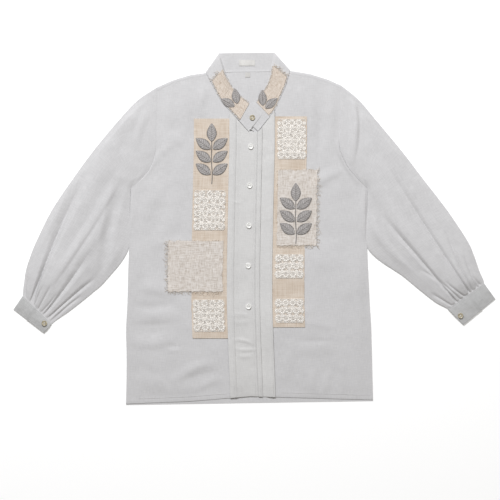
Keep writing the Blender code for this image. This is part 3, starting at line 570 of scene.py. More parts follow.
def bakeShape(piece, sharp=50.0):
    # the modifiers' result becomes the piece's own mesh
    bpy.context.view_layer.update()
    shaped = piece.evaluated_get(bpy.context.evaluated_depsgraph_get())
    mesh = bpy.data.meshes.new_from_object(shaped)
    piece.modifiers.clear()
    piece.data = mesh
    mesh.name = piece.name
    mesh.shade_smooth()
    mesh.set_sharp_from_angle(angle=math.radians(sharp))
    return piece


def makeThreads(name, lines, radius, material, sides=0, caps=True):
    # one piece of round threads: each line is a list of points in mm
    curve = bpy.data.curves.new(name, "CURVE")
    curve.dimensions = "3D"
    curve.bevel_depth = radius * mm
    curve.bevel_resolution = sides
    curve.use_fill_caps = caps
    for line in lines:
        spline = curve.splines.new("POLY")
        spline.points.add(len(line) - 1)
        for point, spot in zip(spline.points, line):
            point.co = (spot[0] * mm, spot[1] * mm, spot[2] * mm, 1.0)
    drawn = bpy.data.objects.new(name + "Line", curve)
    bpy.context.collection.objects.link(drawn)
    bpy.context.view_layer.update()
    mesh = bpy.data.meshes.new_from_object(drawn.evaluated_get(bpy.context.evaluated_depsgraph_get()))
    bpy.data.objects.remove(drawn)
    mesh.name = name
    mesh.materials.clear()
    mesh.materials.append(materials[material])
    mesh.shade_smooth()
    piece = bpy.data.objects.new(name, mesh)
    bpy.context.collection.objects.link(piece)
    return piece


def dress(piece, nodes=()):
    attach(piece, "root")
    if nodes:
        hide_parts(*nodes)
    return piece


# Side seams and armholes from the hem up to the tip of the shoulder, for the right and the left side.
outline = {
    "side": {
        "right": [(-288.9, -397.0), (-287.5, -335.0), (-287.5, -280.0), (-288.5, -228.0), (-285.5, -165.0),
                  (-284.0, -105.0), (-282.0, -44.0), (-280.5, 5.0), (-279.2, 50.0), (-277.6, 93.4)],
        "left": [(266.9, -388.0), (265.0, -330.0), (264.0, -278.0), (262.4, -226.0), (259.0, -163.0),
                 (256.0, -103.0), (253.6, -44.0), (253.4, 5.0), (253.4, 50.0), (253.4, 91.0)],
    },
    "armhole": {
        "right": [(-277.6, 93.4), (-257.4, 109.0), (-234.9, 136.0), (-221.8, 176.6), (-220.6, 222.0),
                  (-219.8, 266.0), (-219.2, 308.8), (-219.0, 318.0)],
        "left": [(253.4, 91.0), (230.9, 113.6), (208.0, 143.0), (192.9, 181.0), (193.4, 228.0),
                 (194.0, 272.0), (194.7, 313.1), (194.9, 322.3)],
    },
    "sideSteps": 13, "armholeSteps": 9,      # rows of cells from one place of the tables to the next
    "shoulderFold": {
        "right": [(-219.0, 318.0), (-183.0, 334.0), (-145.0, 345.4), (-109.6, 350.6)],
        "left": [(194.9, 322.3), (165.0, 335.5), (125.0, 348.0), (80.1, 355.3)],
    },
    "shoulderSeam": {
        "right": [(-219.2, 308.8), (-183.0, 324.8), (-145.0, 336.2), (-105.2, 342.4)],
        "left": [(194.7, 313.1), (165.0, 326.3), (125.0, 338.8), (77.8, 346.3)],
    },
    "backNeck": [(-109.6, 350.6), (-45.2, 353.8), (16.9, 354.4), (80.1, 355.3)],
    "frontNeck": {
        "right": [(-105.2, 342.4), (-75.2, 286.4), (-13.1, 217.6), (9.4, 218.2)],
        "left": [(77.8, 346.3), (71.8, 323.1), (46.6, 265.7), (8.8, 218.2), (-28.0, 217.4)],
    },
    "frontHem": [(-289.0, -394.0), (-150.0, -388.5), (-11.0, -377.0), (130.0, -381.0), (267.0, -385.0)],
    # sideways sway of the placket, the tucks and what is sewn beside them, by height
    "sway": [(-385.0, 2.0), (-260.0, -3.0), (-176.0, -5.6), (-84.0, -5.6), (6.0, -4.0), (96.0, -2.2),
             (184.0, 0.0)],
}


def sideLine(side):
    seam, hole = outline["side"][side], outline["armhole"][side]
    line = [Vector(curveRow(seam, k / outline["sideSteps"]))
            for k in range(outline["sideSteps"] * (len(seam) - 1))]
    line += [Vector(curveRow(hole, k / outline["armholeSteps"]))
             for k in range(outline["armholeSteps"] * (len(hole) - 1) + 1)]
    return line


sideLines = {side: sideLine(side) for side in ("right", "left")}


def sway(y):
    return valueAt(outline["sway"], y)


back = {"cell": 6.0, "stripSteps": 3, "stripBow": 0.7}      # the strip lies on the shoulders' front


def makeBack():
    fold = outline["shoulderFold"]
    topLine = fold["right"] + outline["backNeck"][1:-1] + fold["left"]
    rightX, leftX = sideLines["right"][-1].x, sideLines["left"][-1].x
    neckRight, neckLeft = outline["backNeck"][0][0], outline["backNeck"][-1][0]
    tops = spread(rightX, neckRight, back["cell"])[:-1] + spread(neckRight, neckLeft, back["cell"])
    tops += spread(neckLeft, leftX, back["cell"])[1:]
    plain = list(zip(sideLines["right"], sideLines["left"]))[::2]
    turn = foldedEdge(0.0, level(0.5), 1.0)[::-1][1:]
    rows = len(plain) + len(turn) + back["stripSteps"]

    def place(i, j):
        topX = tops[i]
        onShoulder = topX <= neckRight or topX >= neckLeft
        side = "right" if topX <= neckRight else "left"
        topY = valueAt(topLine, topX) - (cloth["pitch"] if onShoulder else cloth["gap"])
        if j < len(plain):
            right, left = plain[j]
            u = (topX - rightX) / (leftX - rightX)
            hem = lerp(plain[0][0].y, plain[0][1].y, u)
            share = (lerp(right.y, left.y, u) - hem) / (lerp(plain[-1][0].y, plain[-1][1].y, u) - hem)
            x, y = lerp(right.x, left.x, u), lerp(hem, topY, share)
            return (x, y, level(0)), (x, y)
        if not onShoulder:
            return None
        if j < len(plain) + len(turn):
            y, z = turn[j - len(plain)]
            return (topX, topY + y, z), (topX, topY + y + z)
        share = (j - len(plain) - len(turn) + 1) / back["stripSteps"]
        seam = outline["shoulderSeam"][side]
        seamY = valueAt(seam, topX) + cloth["gap"] * 0.3
        x = lerp(topX, valueAt([(a[0], b[0]) for a, b in zip(fold[side], seam)], topX), 0.94 * share)
        lift = back["stripBow"] * math.sin(math.pi * share * 0.9)
        return (x, lerp(topY, seamY, share), level(1) + lift), (x, 2 * topY - lerp(topY, seamY, share))

    dress(makeSheet("backPanel", len(tops), rows, place, "ivoryLinen"), ["back"])


fronts = {
    "hemTurn": 12.0, "hemLift": 0.25,       # depth of the turned hem, and how far it stands out
    "hemPress": 0.7, "pressHeight": 40.0,   # share of the layers' height left at the hem, and up to where
    "rollWidth": 3.4,           # how far from the side seam the rolled edge reaches its full height
    "sectionCell": 3.5,         # size of the cells across the placket
    "edgeCells": (2.4, 1.6, 0.8, 0.0),      # distances of the last lines of cells from the side seam
    # beside the placket each front runs from the first to the second of its tops; its section is the
    # placket and the tucks seen from the hem, from the front edge outwards
    "right": {
        "tops": (-58.0, -219.2), "hemIn": 1.0,
        "section": lambda: ([(5.4, level(1.65)), (0.5, level(2.05)), (-13.1, level(2)), (-26.0, level(2)),
                             (-33.0, level(2)), (-37.4, level(3)), (-39.9, level(2.9)), (-41.0, level(4)),
                             (-45.0, level(4.2))]
                            + foldedEdge(-55.3, level(3.5), -1.0) + [(-46.6, level(3))]
                            + foldedEdge(-41.0, level(1.5), 1.0) + [(-46.6, level(1))]),
    },
    "left": {
        "tops": (46.6, 194.7), "hemIn": 3.5,
        "section": lambda: ([(-27.0, level(1)), (-10.0, level(1)), (6.8, level(0.9)), (8.0, level(3.1)),
                             (12.4, level(3.2))]
                            + foldedEdge(16.6, level(2.5), 1.0) + foldedEdge(13.4, level(1.5), -1.0)
                            + [(18.6, level(0.9)), (26.0, level(1.2)), (33.0, level(3.3)), (40.0, level(4.3))]
                            + foldedEdge(45.0, level(3.5), 1.0) + [(38.9, level(3))]
                            + foldedEdge(33.4, level(1.5), -1.0) + [(38.9, level(1))]),
    },
}


def makeFront(side):
    shape = fronts[side]
    section, lengths = finePath(shape["section"](), fronts["sectionCell"])
    tops = spread(shape["tops"][0], shape["tops"][1], cloth["cell"])[:-1]
    out = -1.0 if side == "right" else 1.0
    tops += [shape["tops"][1] - out * reach for reach in fronts["edgeCells"]]
    line = [spot.copy() for spot in sideLines[side]]
    line = [spot for spot in line if spot.y <= outline["shoulderSeam"][side][0][1] + 0.01]
    hemY = valueAt(outline["frontHem"], line[0].x)
    line[0] = Vector((line[0].x - out * shape["hemIn"], hemY))
    shares = [(spot.y - hemY) / (line[-1].y - hemY) for spot in line]
    topLine = outline["frontNeck"][side] + outline["shoulderSeam"][side]
    rootX = section[-1][0]

    def place(i, j):
        if i < len(section):
            x, z = section[i]
            topY = valueAt(topLine, x) - (cloth["gap"] if x != rootX else 0.0)
            y = lerp(valueAt(outline["frontHem"], x), topY, shares[j])
            x += sway(y)
            across = lengths[i]
        else:
            topX = tops[i - len(section)]
            u = (topX - rootX) / (line[-1].x - rootX)
            hemX = lerp(rootX, line[0].x, u)
            y = lerp(valueAt(outline["frontHem"], hemX), valueAt(topLine, topX), shares[j])
            x, z = lerp(rootX + sway(y), line[j].x, u), level(1)
            across = lengths[-1] + abs(x - rootX)
        # the layers lie closer where the hem was pressed, and the rolled edge turns down to the seam
        hem = y - valueAt(outline["frontHem"], x)
        z = level(0) + (z - level(0)) * lerp(fronts["hemPress"], 1.0, smoothStep(hem / fronts["pressHeight"]))
        roll = smoothStep(abs(x - line[j].x) / fronts["rollWidth"])
        z += bodyLift(x, y) + foldLift(edgePaths, x, y) * roll
        z += fronts["hemLift"] * smoothStep((fronts["hemTurn"] - hem) / 3.0)
        return (x, y, z), (across, y)

    columns = len(section) + len(tops)
    # the placket's columns take the paler copy of the linen, with painted light
    dress(makeSheet("front" + side.capitalize(), columns, len(line), place, "ivoryLinen",
                    other=("placketLinenPaintedLight", len(section) - 3)),
          ["front_" + side])


makeBack()
for side in ("right", "left"):
    makeFront(side)
print("shirt: back and fronts made")

# Sleeves and cuffs.
sleeves = {
    "overColumns": 132, "underColumns": 24, "rowsPerStep": 14,
    "fullness": 0.72,           # share of the solid's puff that the cloth keeps between its folds
    "crownShift": 0.8, "crownSoftness": 1.2,    # the puff is highest near the outer edge, flat at both edges
    "seamRise": 0.6, "seamRows": 0.9,   # above the cuff the ridges sink and the valleys fill to one height
    "tuckIn": 2.4,              # how far the upper side reaches into the cuff's seam
    "freeRows": 0.9, "foldFade": 2.4,   # rows over which folds begin at the armhole and fade to the cuff
    "bulgeRows": 5.0,           # rows in which the curve of the armhole dies away
    "rowPitch": 45.0,           # length of uncut cloth from row to row
    "right": {
        "intoCuff": Vector((-0.55, -0.83)),
        "seamPuff": 0.9,        # how far the cloth stands up within its first cell beside the armhole
        "rows": [       # outer_x, outer_y, inner_x, inner_y, puff
            (-218.9, 317.9, -278.0, 93.6, 0.2), (-261.9, 289.1, -278.2, 92.0, 2.0),
            (-304.7, 244.1, -278.3, 90.0, 4.0), (-360.9, 176.6, -278.8, 80.0, 6.0),
            (-410.4, 109.1, -279.9, 45.0, 8.0), (-455.4, 41.6, -282.9, -46.0, 11.0),
            (-489.2, -25.9, -334.0, -117.0, 14.0), (-504.0, -62.0, -364.0, -144.5, 14.5),
            (-513.9, -93.4, -390.2, -166.0, 12.4), (-518.0, -121.0, -420.0, -189.0, 8.4),
            (-520.5, -140.0, -446.0, -206.5, 3.6), (-521.1, -152.1, -456.3, -215.3, 0.8)],
    },
    "left": {
        "intoCuff": Vector((0.58, -0.81)), "seamPuff": 2.6,
        "rows": [
            (196.0, 321.8, 253.6, 91.1, 0.2), (235.4, 289.1, 254.0, 90.0, 2.0),
            (273.6, 244.1, 254.0, 88.5, 4.0), (329.9, 176.6, 254.0, 79.0, 6.0),
            (381.6, 109.1, 254.0, 45.0, 8.0), (433.4, 41.6, 254.6, -45.0, 11.0),
            (478.4, -25.9, 334.4, -108.0, 14.0), (494.0, -60.0, 367.0, -135.0, 14.5),
            (505.4, -93.4, 399.6, -160.9, 12.0), (512.0, -108.0, 414.0, -170.5, 7.6),
            (515.6, -116.5, 428.0, -177.5, 3.0), (516.6, -123.8, 435.4, -181.8, 0.8)],
    },
}


def makeSleeve(side):
    shape = sleeves[side]
    rows, out = shape["rows"], (-1.0 if side == "right" else 1.0)
    turn = cloth["pitch"] / 2
    # how far in from the table's lines the two folded edges lie
    edges = {"outer": turn + 0.6, "inner": turn + 0.15}
    seamRows = outline["sideSteps"] * (len(outline["side"][side]) - 1)
    armhole = sideLines[side][seamRows:][::-1]
    last = len(rows) - 1
    lines = [k / sleeves["rowsPerStep"] for k in range(last * sleeves["rowsPerStep"] + 1)]
    stations = [("over", k / sleeves["overColumns"]) for k in range(sleeves["overColumns"] + 1)]
    stations += [("inner", angle) for angle in (60.0, 30.0, 0.0, -30.0, -60.0)]
    stations += [("under", 1.0 - k / sleeves["underColumns"]) for k in range(sleeves["underColumns"] + 1)]
    stations += [("outer", angle) for angle in (-60.0, -30.0, 0.0, 30.0, 60.0)]
    stations.append(stations[0])
    firstOuter, firstInner = Vector(rows[0][0:2]), Vector(rows[0][2:4])

    def place(i, j):
        kind, value = stations[i]
        row = lines[j]
        outerX, outerY, innerX, innerY, puff = curveRow(rows, row)
        outer, inner = Vector((outerX, outerY)), Vector((innerX, innerY))
        width = (inner - outer).length
        if kind in ("over", "under"):
            share = lerp(edges["outer"] / width, 1.0 - edges["inner"] / width, value)
        else:
            swell = turn * math.cos(math.radians(value))
            share = (edges[kind] - swell) / width
            share = share if kind == "outer" else 1.0 - share
        spot = outer.lerp(inner, share)
        bulge = max(0.0, 1.0 - row / sleeves["bulgeRows"]) ** 1.5
        spot += (pointAlong(armhole, share) - firstOuter.lerp(firstInner, share)) * bulge
        spot.x += out * 0.1 * (1.0 - row / last)
        z = level(0)
        if kind == "over":
            crown = max(0.0, math.sin(math.pi * value ** sleeves["crownShift"])) ** sleeves["crownSoftness"]
            free = smoothStep(row / sleeves["freeRows"])
            rise = max(0.0, puff) * sleeves["fullness"] * crown
            rise += min(1.0, 3.0 * crown) * free * smoothStep((last - row) / sleeves["foldFade"]) * (
                foldLift(sleevePaths, spot.x, spot.y) + rumple(spot.x, spot.y, 58.0, 2.4)
                + rumple(spot.x, spot.y, 20.0, 0.7))
            begun = min(1.0, row * sleeves["rowsPerStep"])
            rise += shape["seamPuff"] * begun * (0.2 + 0.8 * value) * crown ** 0.2
            rise -= gatherDrop(gatherPaths[side], spot.x, spot.y)
            settled = smoothStep(1.0 - (last - row) / sleeves["seamRows"])
            rise = lerp(max(0.0, rise), sleeves["seamRise"] * crown ** 0.3, settled)
            if j == len(lines) - 1:
                spot += shape["intoCuff"] * sleeves["tuckIn"] * crown ** 0.3
            z = level(1) + rise + (1.0 - free) * bodyLift(spot.x, spot.y)
        elif kind != "under":
            z = level(0.5) + turn * math.sin(math.radians(value))
        across = width * (value if kind == "over" else share)
        if kind == "under":
            across = 2.0 * width - share * width
        return (spot.x, spot.y, z), (across - width / 2, sleeves["rowPitch"] * row)

    name = "sleeve" + side.capitalize()
    dress(makeSheet(name, len(stations), len(lines), place, "ivoryLinen", closed=True),
          ["sleeve_" + side])


cuffs = {
    "lapEnd": 0.42, "underlapEnd": 0.76,        # shares of the width where the upper and the lower end stop
    "lapRise": 1.1,             # how far the upper end springs up
    "cell": 3.0, "rows": 13,
    "right": {"seamOuter": (-521.1, -152.1), "seamInner": (-456.3, -215.3),
              "wristOuter": (-541.6, -182.3), "wristInner": (-473.0, -235.1)},
    "left": {"seamOuter": (516.6, -123.8), "seamInner": (435.4, -181.8),
             "wristOuter": (541.6, -158.4), "wristInner": (470.0, -216.9)},
}


def cuffLift(x, y, share):
    # handled linen over its seam allowance, creased
    return 0.2 + 0.5 * (1.0 - share) ** 2 + math.sin(math.pi * share) * (
        0.5 + rumple(x, y, 14.0, 2.2) + rumple(x, y, 7.0, 0.6))


def makeCuff(side):
    corners = {key: Vector(value) for key, value in cuffs[side].items()}
    width = (corners["seamInner"] - corners["seamOuter"]).length
    path = [(cuffs["underlapEnd"] * width, level(1)), (0.4 * width, level(1))]
    path += foldedEdge(cloth["pitch"] / 2, level(0.5), -1.0)
    path += [(0.5 * width, level(0))]
    for k in range(9):
        angle = math.radians(-90.0 + 22.5 * k)
        path.append((width - cloth["pitch"] + cloth["pitch"] * math.cos(angle),
                     level(1) + cloth["pitch"] * math.sin(angle)))
    path += [(0.7 * width, level(2)), (cuffs["lapEnd"] * width + 6.0, level(2)),
             (cuffs["lapEnd"] * width, level(2) + cuffs["lapRise"])]
    (fine, lengths), rows = finePath(path, cuffs["cell"]), cuffs["rows"]

    def place(i, j):
        across, z = fine[i]
        share = j / (rows - 1)
        seam = corners["seamOuter"].lerp(corners["seamInner"], across / width)
        wrist = corners["wristOuter"].lerp(corners["wristInner"], across / width)
        spot = seam.lerp(wrist, share)
        if z > level(0.9):
            z += cuffLift(spot.x, spot.y, share)
        return (spot.x, spot.y, z), (lengths[i], 36.0 * share)

    # the cuffs take the linen with painted shade
    dress(makeSheet("cuff" + side.capitalize(), len(fine), rows, place, "cuffLinenPaintedShade"),
          ["cuff_" + side])


for side in ("right", "left"):
    makeSleeve(side)
    makeCuff(side)
print("shirt: sleeves and cuffs made")

# Collar and labels.
collar = {
    "rows": [       # seam_x, seam_y, top_x, top_y, layer, from the buttoned end round to the other one
        (-13.1, 217.6, 16.7, 255.4, 2.0), (-34.2, 241.0, -9.9, 284.2, 2.0),
        (-54.7, 263.7, -29.3, 300.2, 2.0), (-75.2, 286.4, -48.2, 320.6, 2.0),
        (-90.7, 315.3, -63.5, 345.4, 2.0), (-101.0, 334.6, -71.8, 370.1, 1.5),
        (-109.6, 350.6, -78.5, 394.2, 1.0), (-45.2, 353.8, -38.0, 395.0, 0.0),
        (16.9, 354.4, 9.0, 395.3, 0.0), (80.1, 355.3, 44.3, 395.3, 1.0),
        (76.0, 339.2, 38.5, 367.9, 1.0), (71.8, 323.1, 34.7, 347.6, 1.0),
        (59.2, 294.4, 27.2, 326.3, 1.0), (46.6, 265.7, 11.5, 299.3, 1.0),
        (27.7, 242.2, -5.4, 279.0, 1.0), (8.8, 218.7, -27.9, 252.0, 1.0)],
    "creases": (6, 9),          # rows where the stand folds back on itself
    "stepsPerRow": 7, "rowsAcross": 13,
    # how far the stand's top edge rises off what is below: first row, last row, height
    "rises": [(3.0, 6.0, 5.6), (9.0, 12.0, 2.4)],
    "loop": (-8.5, 220.5, 10.5, 6.0), "loopCord": 0.9,      # place, width and height of the rolled end
    "hemRise": 1.5,             # how far its lower edge stands off the fronts
    "backLap": 0.04,            # share of its height by which it covers the back's neckline
}


def standLift(row, share):
    # the stand bows up between its two edges, and its top edge springs up beside the neck
    lift = 0.5 * math.sin(math.pi * share)
    first, second = collar["creases"]
    if not first - 0.6 < row < second + 0.6:
        lift += collar["hemRise"] * max(0.0, 1.0 - share) ** 4
    for first, last, height in collar["rises"]:
        if first < row < last:
            edge = smoothStep((1.0 - share) / 0.07)
            lift += height * share * share * edge * math.sin(math.pi * (row - first) / (last - first)) ** 0.7
    return lift


def collarStrip():
    # places along the collar: each is a row of the table, an outward shift, a height and the row's number
    rows, first, second = collar["rows"], *collar["creases"]
    steps = collar["stepsPerRow"]
    parts = [rows[:first + 1], rows[first:second + 1], rows[second:]]
    strip = []
    for number, part in enumerate(parts):
        if number:
            row = Vector(part[0][:4])
            along = (Vector(row[2:4]) - Vector(row[0:2])).normalized()
            outward = Vector((-along.y, along.x)) if number == 1 else Vector((along.y, -along.x))
            turn = foldedEdge(0.0, level(0.5), 1.0)
            for reach, z in turn if number == 1 else turn[::-1]:
                strip.append((row, outward * reach, z, float(first if number == 1 else second)))
        inner = range(steps * (len(part) - 1) + 1)
        start, end = (1 if number else 0), (1 if number < 2 else 0)
        base = (0, first, second)[number]
        for k in list(inner)[start:len(inner) - end]:
            # round the front ends the stand curves, and behind the neck it lies straight from row to row
            whole = int(k / steps)
            values = curveRow(part, k / steps) if number != 1 else [
                lerp(a, b, k / steps - whole) for a, b in zip(part[whole], part[whole + 1])]
            strip.append((values[:4], Vector((0.0, 0.0)), level(values[4]), base + k / steps))
    return strip


def makeCollar():
    strip, rows = collarStrip(), collar["rowsAcross"]
    middles = [(Vector(row[0:2]) + Vector(row[2:4])) / 2 for row, *_ in strip]
    lengths = [0.0]
    for a, b in zip(middles, middles[1:]):
        lengths.append(lengths[-1] + (b - a).length)

    def place(i, j):
        row, outward, z, number = strip[i]
        first, second = collar["creases"]
        lap = collar["backLap"] if first < number < second else -0.014
        share = lerp(-lap, 1.0, j / (rows - 1))
        spot = Vector(row[0:2]).lerp(Vector(row[2:4]), share) + outward
        if outward.length == 0.0 and z > level(0.4):
            z += standLift(number, share) + rumple(spot.x, spot.y, 18.0, 0.5)
        if j == 0 and lap > 0.0:
            z += 0.5 * cloth["pitch"]
        return (spot.x, spot.y, z), (lengths[i], 48.0 * share)

    dress(makeSheet("collarStand", len(strip), rows, place, "ivoryLinen"), ["collar_stand"])


labels = {
    "neckLabel": {"node": "neck_label", "box": (-34.7, 366.0, 1.3, 379.0), "cells": (12, 6)},
    "sizeTag": {"node": "size_tag", "box": (-21.0, 340.5, -9.5, 351.0), "cells": (12, 6)},
}


def makeLabel(name):
    (x0, y0, x1, y1), (across, down) = labels[name]["box"], labels[name]["cells"]

    def place(i, j):
        x, y = lerp(x0, x1, i / across), lerp(y0, y1, j / down)
        bow = 0.25 * math.sin(math.pi * i / across) * math.sin(math.pi * j / down)
        return (x, y, level(1) + bow), (x, y)

    piece = makeSheet(name, across + 1, down + 1, place, "satinTape", wall=0.5)
    dress(piece, [labels[name]["node"]])


makeCollar()
for name in labels:
    makeLabel(name)
print("shirt: collar and labels made")

# Bands, patches and collar strips.
bandRows = {
    "bandRight": {"node": "band_right", "x": (-136.0, -47.8), "y": (-247.0, 247.0), "grid": (24, 124)},
    "bandLeft": {"node": "band_left", "x": (40.2, 118.0), "y": (-222.0, 252.0), "grid": (24, 124)},
}
# each patch steps down from its band to the front on its low side, and frays more on two of its sides
patches = {
    "patchRight": {"node": "patch_right", "x": (-189.0, -66.0), "y": (-142.0, -28.0), "grid": (46, 46),
                   "step": (-146.5, -138.5), "low": "left", "looseSides": ((0, -1), (-1, 0))},
    "patchLeft": {"node": "patch_left", "x": (55.0, 143.0), "y": (-38.0, 132.0), "grid": (46, 46),
                  "step": (120.5, 128.5), "low": "right", "looseSides": ((0, -1), (1, 0))},
}
# distance between loose threads and their lengths, on the loose sides and on the others
fringe = {"loose": (1.5, (3.0, 10.0)), "firm": (2.0, (1.5, 4.0)), "radius": 0.24, "darkEvery": 11}


def flatSpot(x, y, layer):
    # a point on a piece sewn flat on a front
    x += sway(y)
    return Vector((x, y, level(layer) + bodyLift(x, y)))


def patchLayer(shape, x):
    share = smoothStep((x - shape["step"][0]) / (shape["step"][1] - shape["step"][0]))
    return lerp(2.0, 3.0, share if shape["low"] == "left" else 1.0 - share)


def makeBand(name):
    shape = bandRows[name]
    (x0, x1), (y0, y1) = shape["x"], shape["y"]
    columns, rows = shape["grid"]

    def place(i, j):
        x, y = lerp(x0, x1, i / (columns - 1)), lerp(y0, y1, j / (rows - 1))
        outer = i == (0 if "Right" in name else columns - 1)
        shift = 0.9 * noise.noise(Vector((y / 11.0, x, 0.0))) if outer else 0.0
        spot = flatSpot(x + shift, y, 2)
        spot.z += rumple(x, y, 15.0, 0.3)
        return spot, (x, y)

    piece = makeSheet(name, columns, rows, place, "beigeLinen")
    dress(piece, [shape["node"]])


def frayedEdge(start, end, outward, pitch, lengths, height, seed):
    # loose threads along an edge: each bends its own way and lies on the cloth
    draw = random.Random(seed)
    start, end, outward = Vector(start), Vector(end), Vector(outward)
    along = (end - start).normalized()
    count = int((end - start).length / pitch)
    lines = []
    for k in range(count):
        root = start.lerp(end, (k + draw.random()) / count)
        length = draw.uniform(*lengths) * (1.5 if draw.random() < 0.12 else 1.0)
        lean, curl = draw.uniform(-0.45, 0.45), draw.uniform(-0.9, 0.9)
        line = []
        for step in range(5):
            t = step / 4
            spot = root + outward * (length * t - 1.5) + along * (length * (lean * t + curl * t * t))
            bow = 0.6 * math.sin(math.pi * t) * draw.random()
            line.append((spot.x, spot.y, height(spot.x, spot.y) + 0.5 + bow))
        lines.append(line)
    return lines


def makeFringe(start, side, lines, radius, darkEvery, nodes=()):
    # the loose threads in two shades, the darker ones a little thicker
    pale = [line for k, line in enumerate(lines) if k % darkEvery]
    dress(makeThreads(start + side, pale, radius, "beigeThread"), nodes)
    dress(makeThreads(start + "Dark" + side, lines[::darkEvery], radius + 0.02, "brownThread"))


def makePatch(name):
    shape = patches[name]
    (x0, x1), (y0, y1) = shape["x"], shape["y"]
    columns, rows = shape["grid"]

    def torn(x, y):
        coarse, fine = Vector((x / 9.0, y / 9.0, 5.0)), Vector((x / 3.0, y / 3.0, 8.0))
        return 2.8 * noise.noise(coarse) + 1.2 * noise.noise(fine)

    def place(i, j):
        x, y = lerp(x0, x1, i / (columns - 1)), lerp(y0, y1, j / (rows - 1))
        x += torn(x, y) if i in (0, columns - 1) else 0.0
        y += torn(x, y) if j in (0, rows - 1) else 0.0
        spot = flatSpot(x, y, patchLayer(shape, x))
        spot.z += rumple(x, y, 13.0, 0.6)
        return spot, (x, y)

    piece = makeSheet(name, columns, rows, place, "coarseLinen")
    dress(piece, [shape["node"]])

    def height(x, y):
        inside = x0 + 1.0 < x - sway(y) < x1 - 1.0
        return level(patchLayer(shape, x) if inside else 2.0) + bodyLift(x, y)

    swayMiddle = sway((y0 + y1) / 2)
    corners = [Vector((x0 + swayMiddle, y0)), Vector((x1 + swayMiddle, y0)), Vector((x1 + swayMiddle, y1)),
               Vector((x0 + swayMiddle, y1))]
    edges = list(zip(corners, corners[1:] + corners[:1], [(0, -1), (1, 0), (0, 1), (-1, 0)]))
    lines = []
    for number, (start, end, outward) in enumerate(edges):
        pitch, threadLengths = fringe["loose" if outward in shape["looseSides"] else "firm"]
        lines += frayedEdge(start, end, outward, pitch, threadLengths, height, 11 + number)
    side = name[5:].lower()
    makeFringe("fringe", name[5:], lines, fringe["radius"], fringe["darkEvery"],
               [f"fringe_{side}_side", f"fringe_{side}_hem"])


collarTrims = {
    "collarTrimRight": {"node": "collar_trim_right", "rows": (1, 4.6), "layer": 3.0},
    "collarTrimLeft": {"node": "collar_trim_left", "rows": (10, 13.6), "layer": 2.0},
    "shares": (0.1, 0.9), "grid": (34, 12),
    # their frayed edges, in the same terms as the patches'
    "pitch": 0.8, "sideLengths": (1.5, 4.5), "endLengths": (3.0, 9.0), "radius": 0.26, "darkEvery": 5,
}


def collarSpot(row, share, layer):
    rows, first, second = collar["rows"], *collar["creases"]
    values = curveRow(rows[:first + 1], row) if row < first else curveRow(rows[second:], row - second)
    seamX, seamY, topX, topY, _ = values
    spot = Vector((lerp(seamX, topX, share), lerp(seamY, topY, share)))
    return Vector((spot.x, spot.y, level(layer) + standLift(row, share)))


def makeCollarTrim(name):
    shape = collarTrims[name]
    (low, high), (first, last) = collarTrims["shares"], shape["rows"]
    columns, rows = collarTrims["grid"]

    def place(i, j):
        row, share = lerp(first, last, i / (columns - 1)), lerp(low, high, j / (rows - 1))
        edge = 0.02 * noise.noise(Vector((row * 6.0, share * 3, 1.0))) if j in (0, rows - 1) else 0.0
        spot = collarSpot(row, share + edge, shape["layer"])
        spot.z += rumple(spot.x, spot.y, 11.0, 0.5)
        return spot, (24.0 * row, 48.0 * share)

    piece = makeSheet(name, columns, rows, place, "scrimLinen")
    dress(piece, [shape["node"]])
    lines = []
    for share, side in ((low, -1.0), (high, 1.0)):
        for k in range(8):
            a, b = (collarSpot(lerp(first, last, (k + n) / 8), share, shape["layer"]) for n in (0, 1))
            row = lerp(first, last, k / 8)
            across = collarSpot(row, 1.0, 0) - collarSpot(row, 0.0, 0)
            outward = Vector((across.x, across.y)).normalized() * side
            lines += frayedEdge((a.x, a.y), (b.x, b.y), outward, collarTrims["pitch"],
                                collarTrims["sideLengths"], lambda x, y: a.z, 40 + k)
    end = last if name == "collarTrimRight" else first
    a, b = collarSpot(end, low, shape["layer"]), collarSpot(end, high, shape["layer"])
    across = Vector((b.x - a.x, b.y - a.y)).normalized()
    outward = (across.y, -across.x) if name == "collarTrimLeft" else (-across.y, across.x)
    lines += frayedEdge((a.x, a.y), (b.x, b.y), outward, collarTrims["pitch"], collarTrims["endLengths"],
                        lambda x, y: a.z, 77)
    makeFringe("frayed", name[10:], lines, collarTrims["radius"], collarTrims["darkEvery"])


for name in bandRows:
    makeBand(name)
for name in patches:
    makePatch(name)
for name in ("collarTrimRight", "collarTrimLeft"):
    makeCollarTrim(name)
print("shirt: bands, patches and strips made")

# Lace.
lace = {
    "flower": 18.0, "petals": 8, "blossom": 4.6, "blossomPetals": 5, "scallop": 18.0, "scallopDepth": 3.5,
    "cord": 0.45, "net": 0.24, "netPitch": 3.6,
    "panels": {
        "laceRightTop": {"node": "lace_right_top", "x": (-133.0, -62.0), "top": 86.0, "count": 5},
        "laceRightHem": {"node": "lace_right_hem", "x": (-133.0, -62.0), "top": -160.0, "count": 4},
        "laceLeftTop": {"node": "lace_left_top", "x": (52.0, 116.0), "top": 246.0, "count": 5},
        "laceLeftMiddle": {"node": "lace_left_middle", "x": (52.0, 116.0), "top": -58.0, "count": 3},
        "laceLeftHem": {"node": "lace_left_hem", "x": (52.0, 116.0), "top": -158.0, "count": 3},
    },
}


def laceSpot(x, y, lift=0.0):
    spot = flatSpot(x, y, 3)
    return (spot.x, spot.y, spot.z + lift)


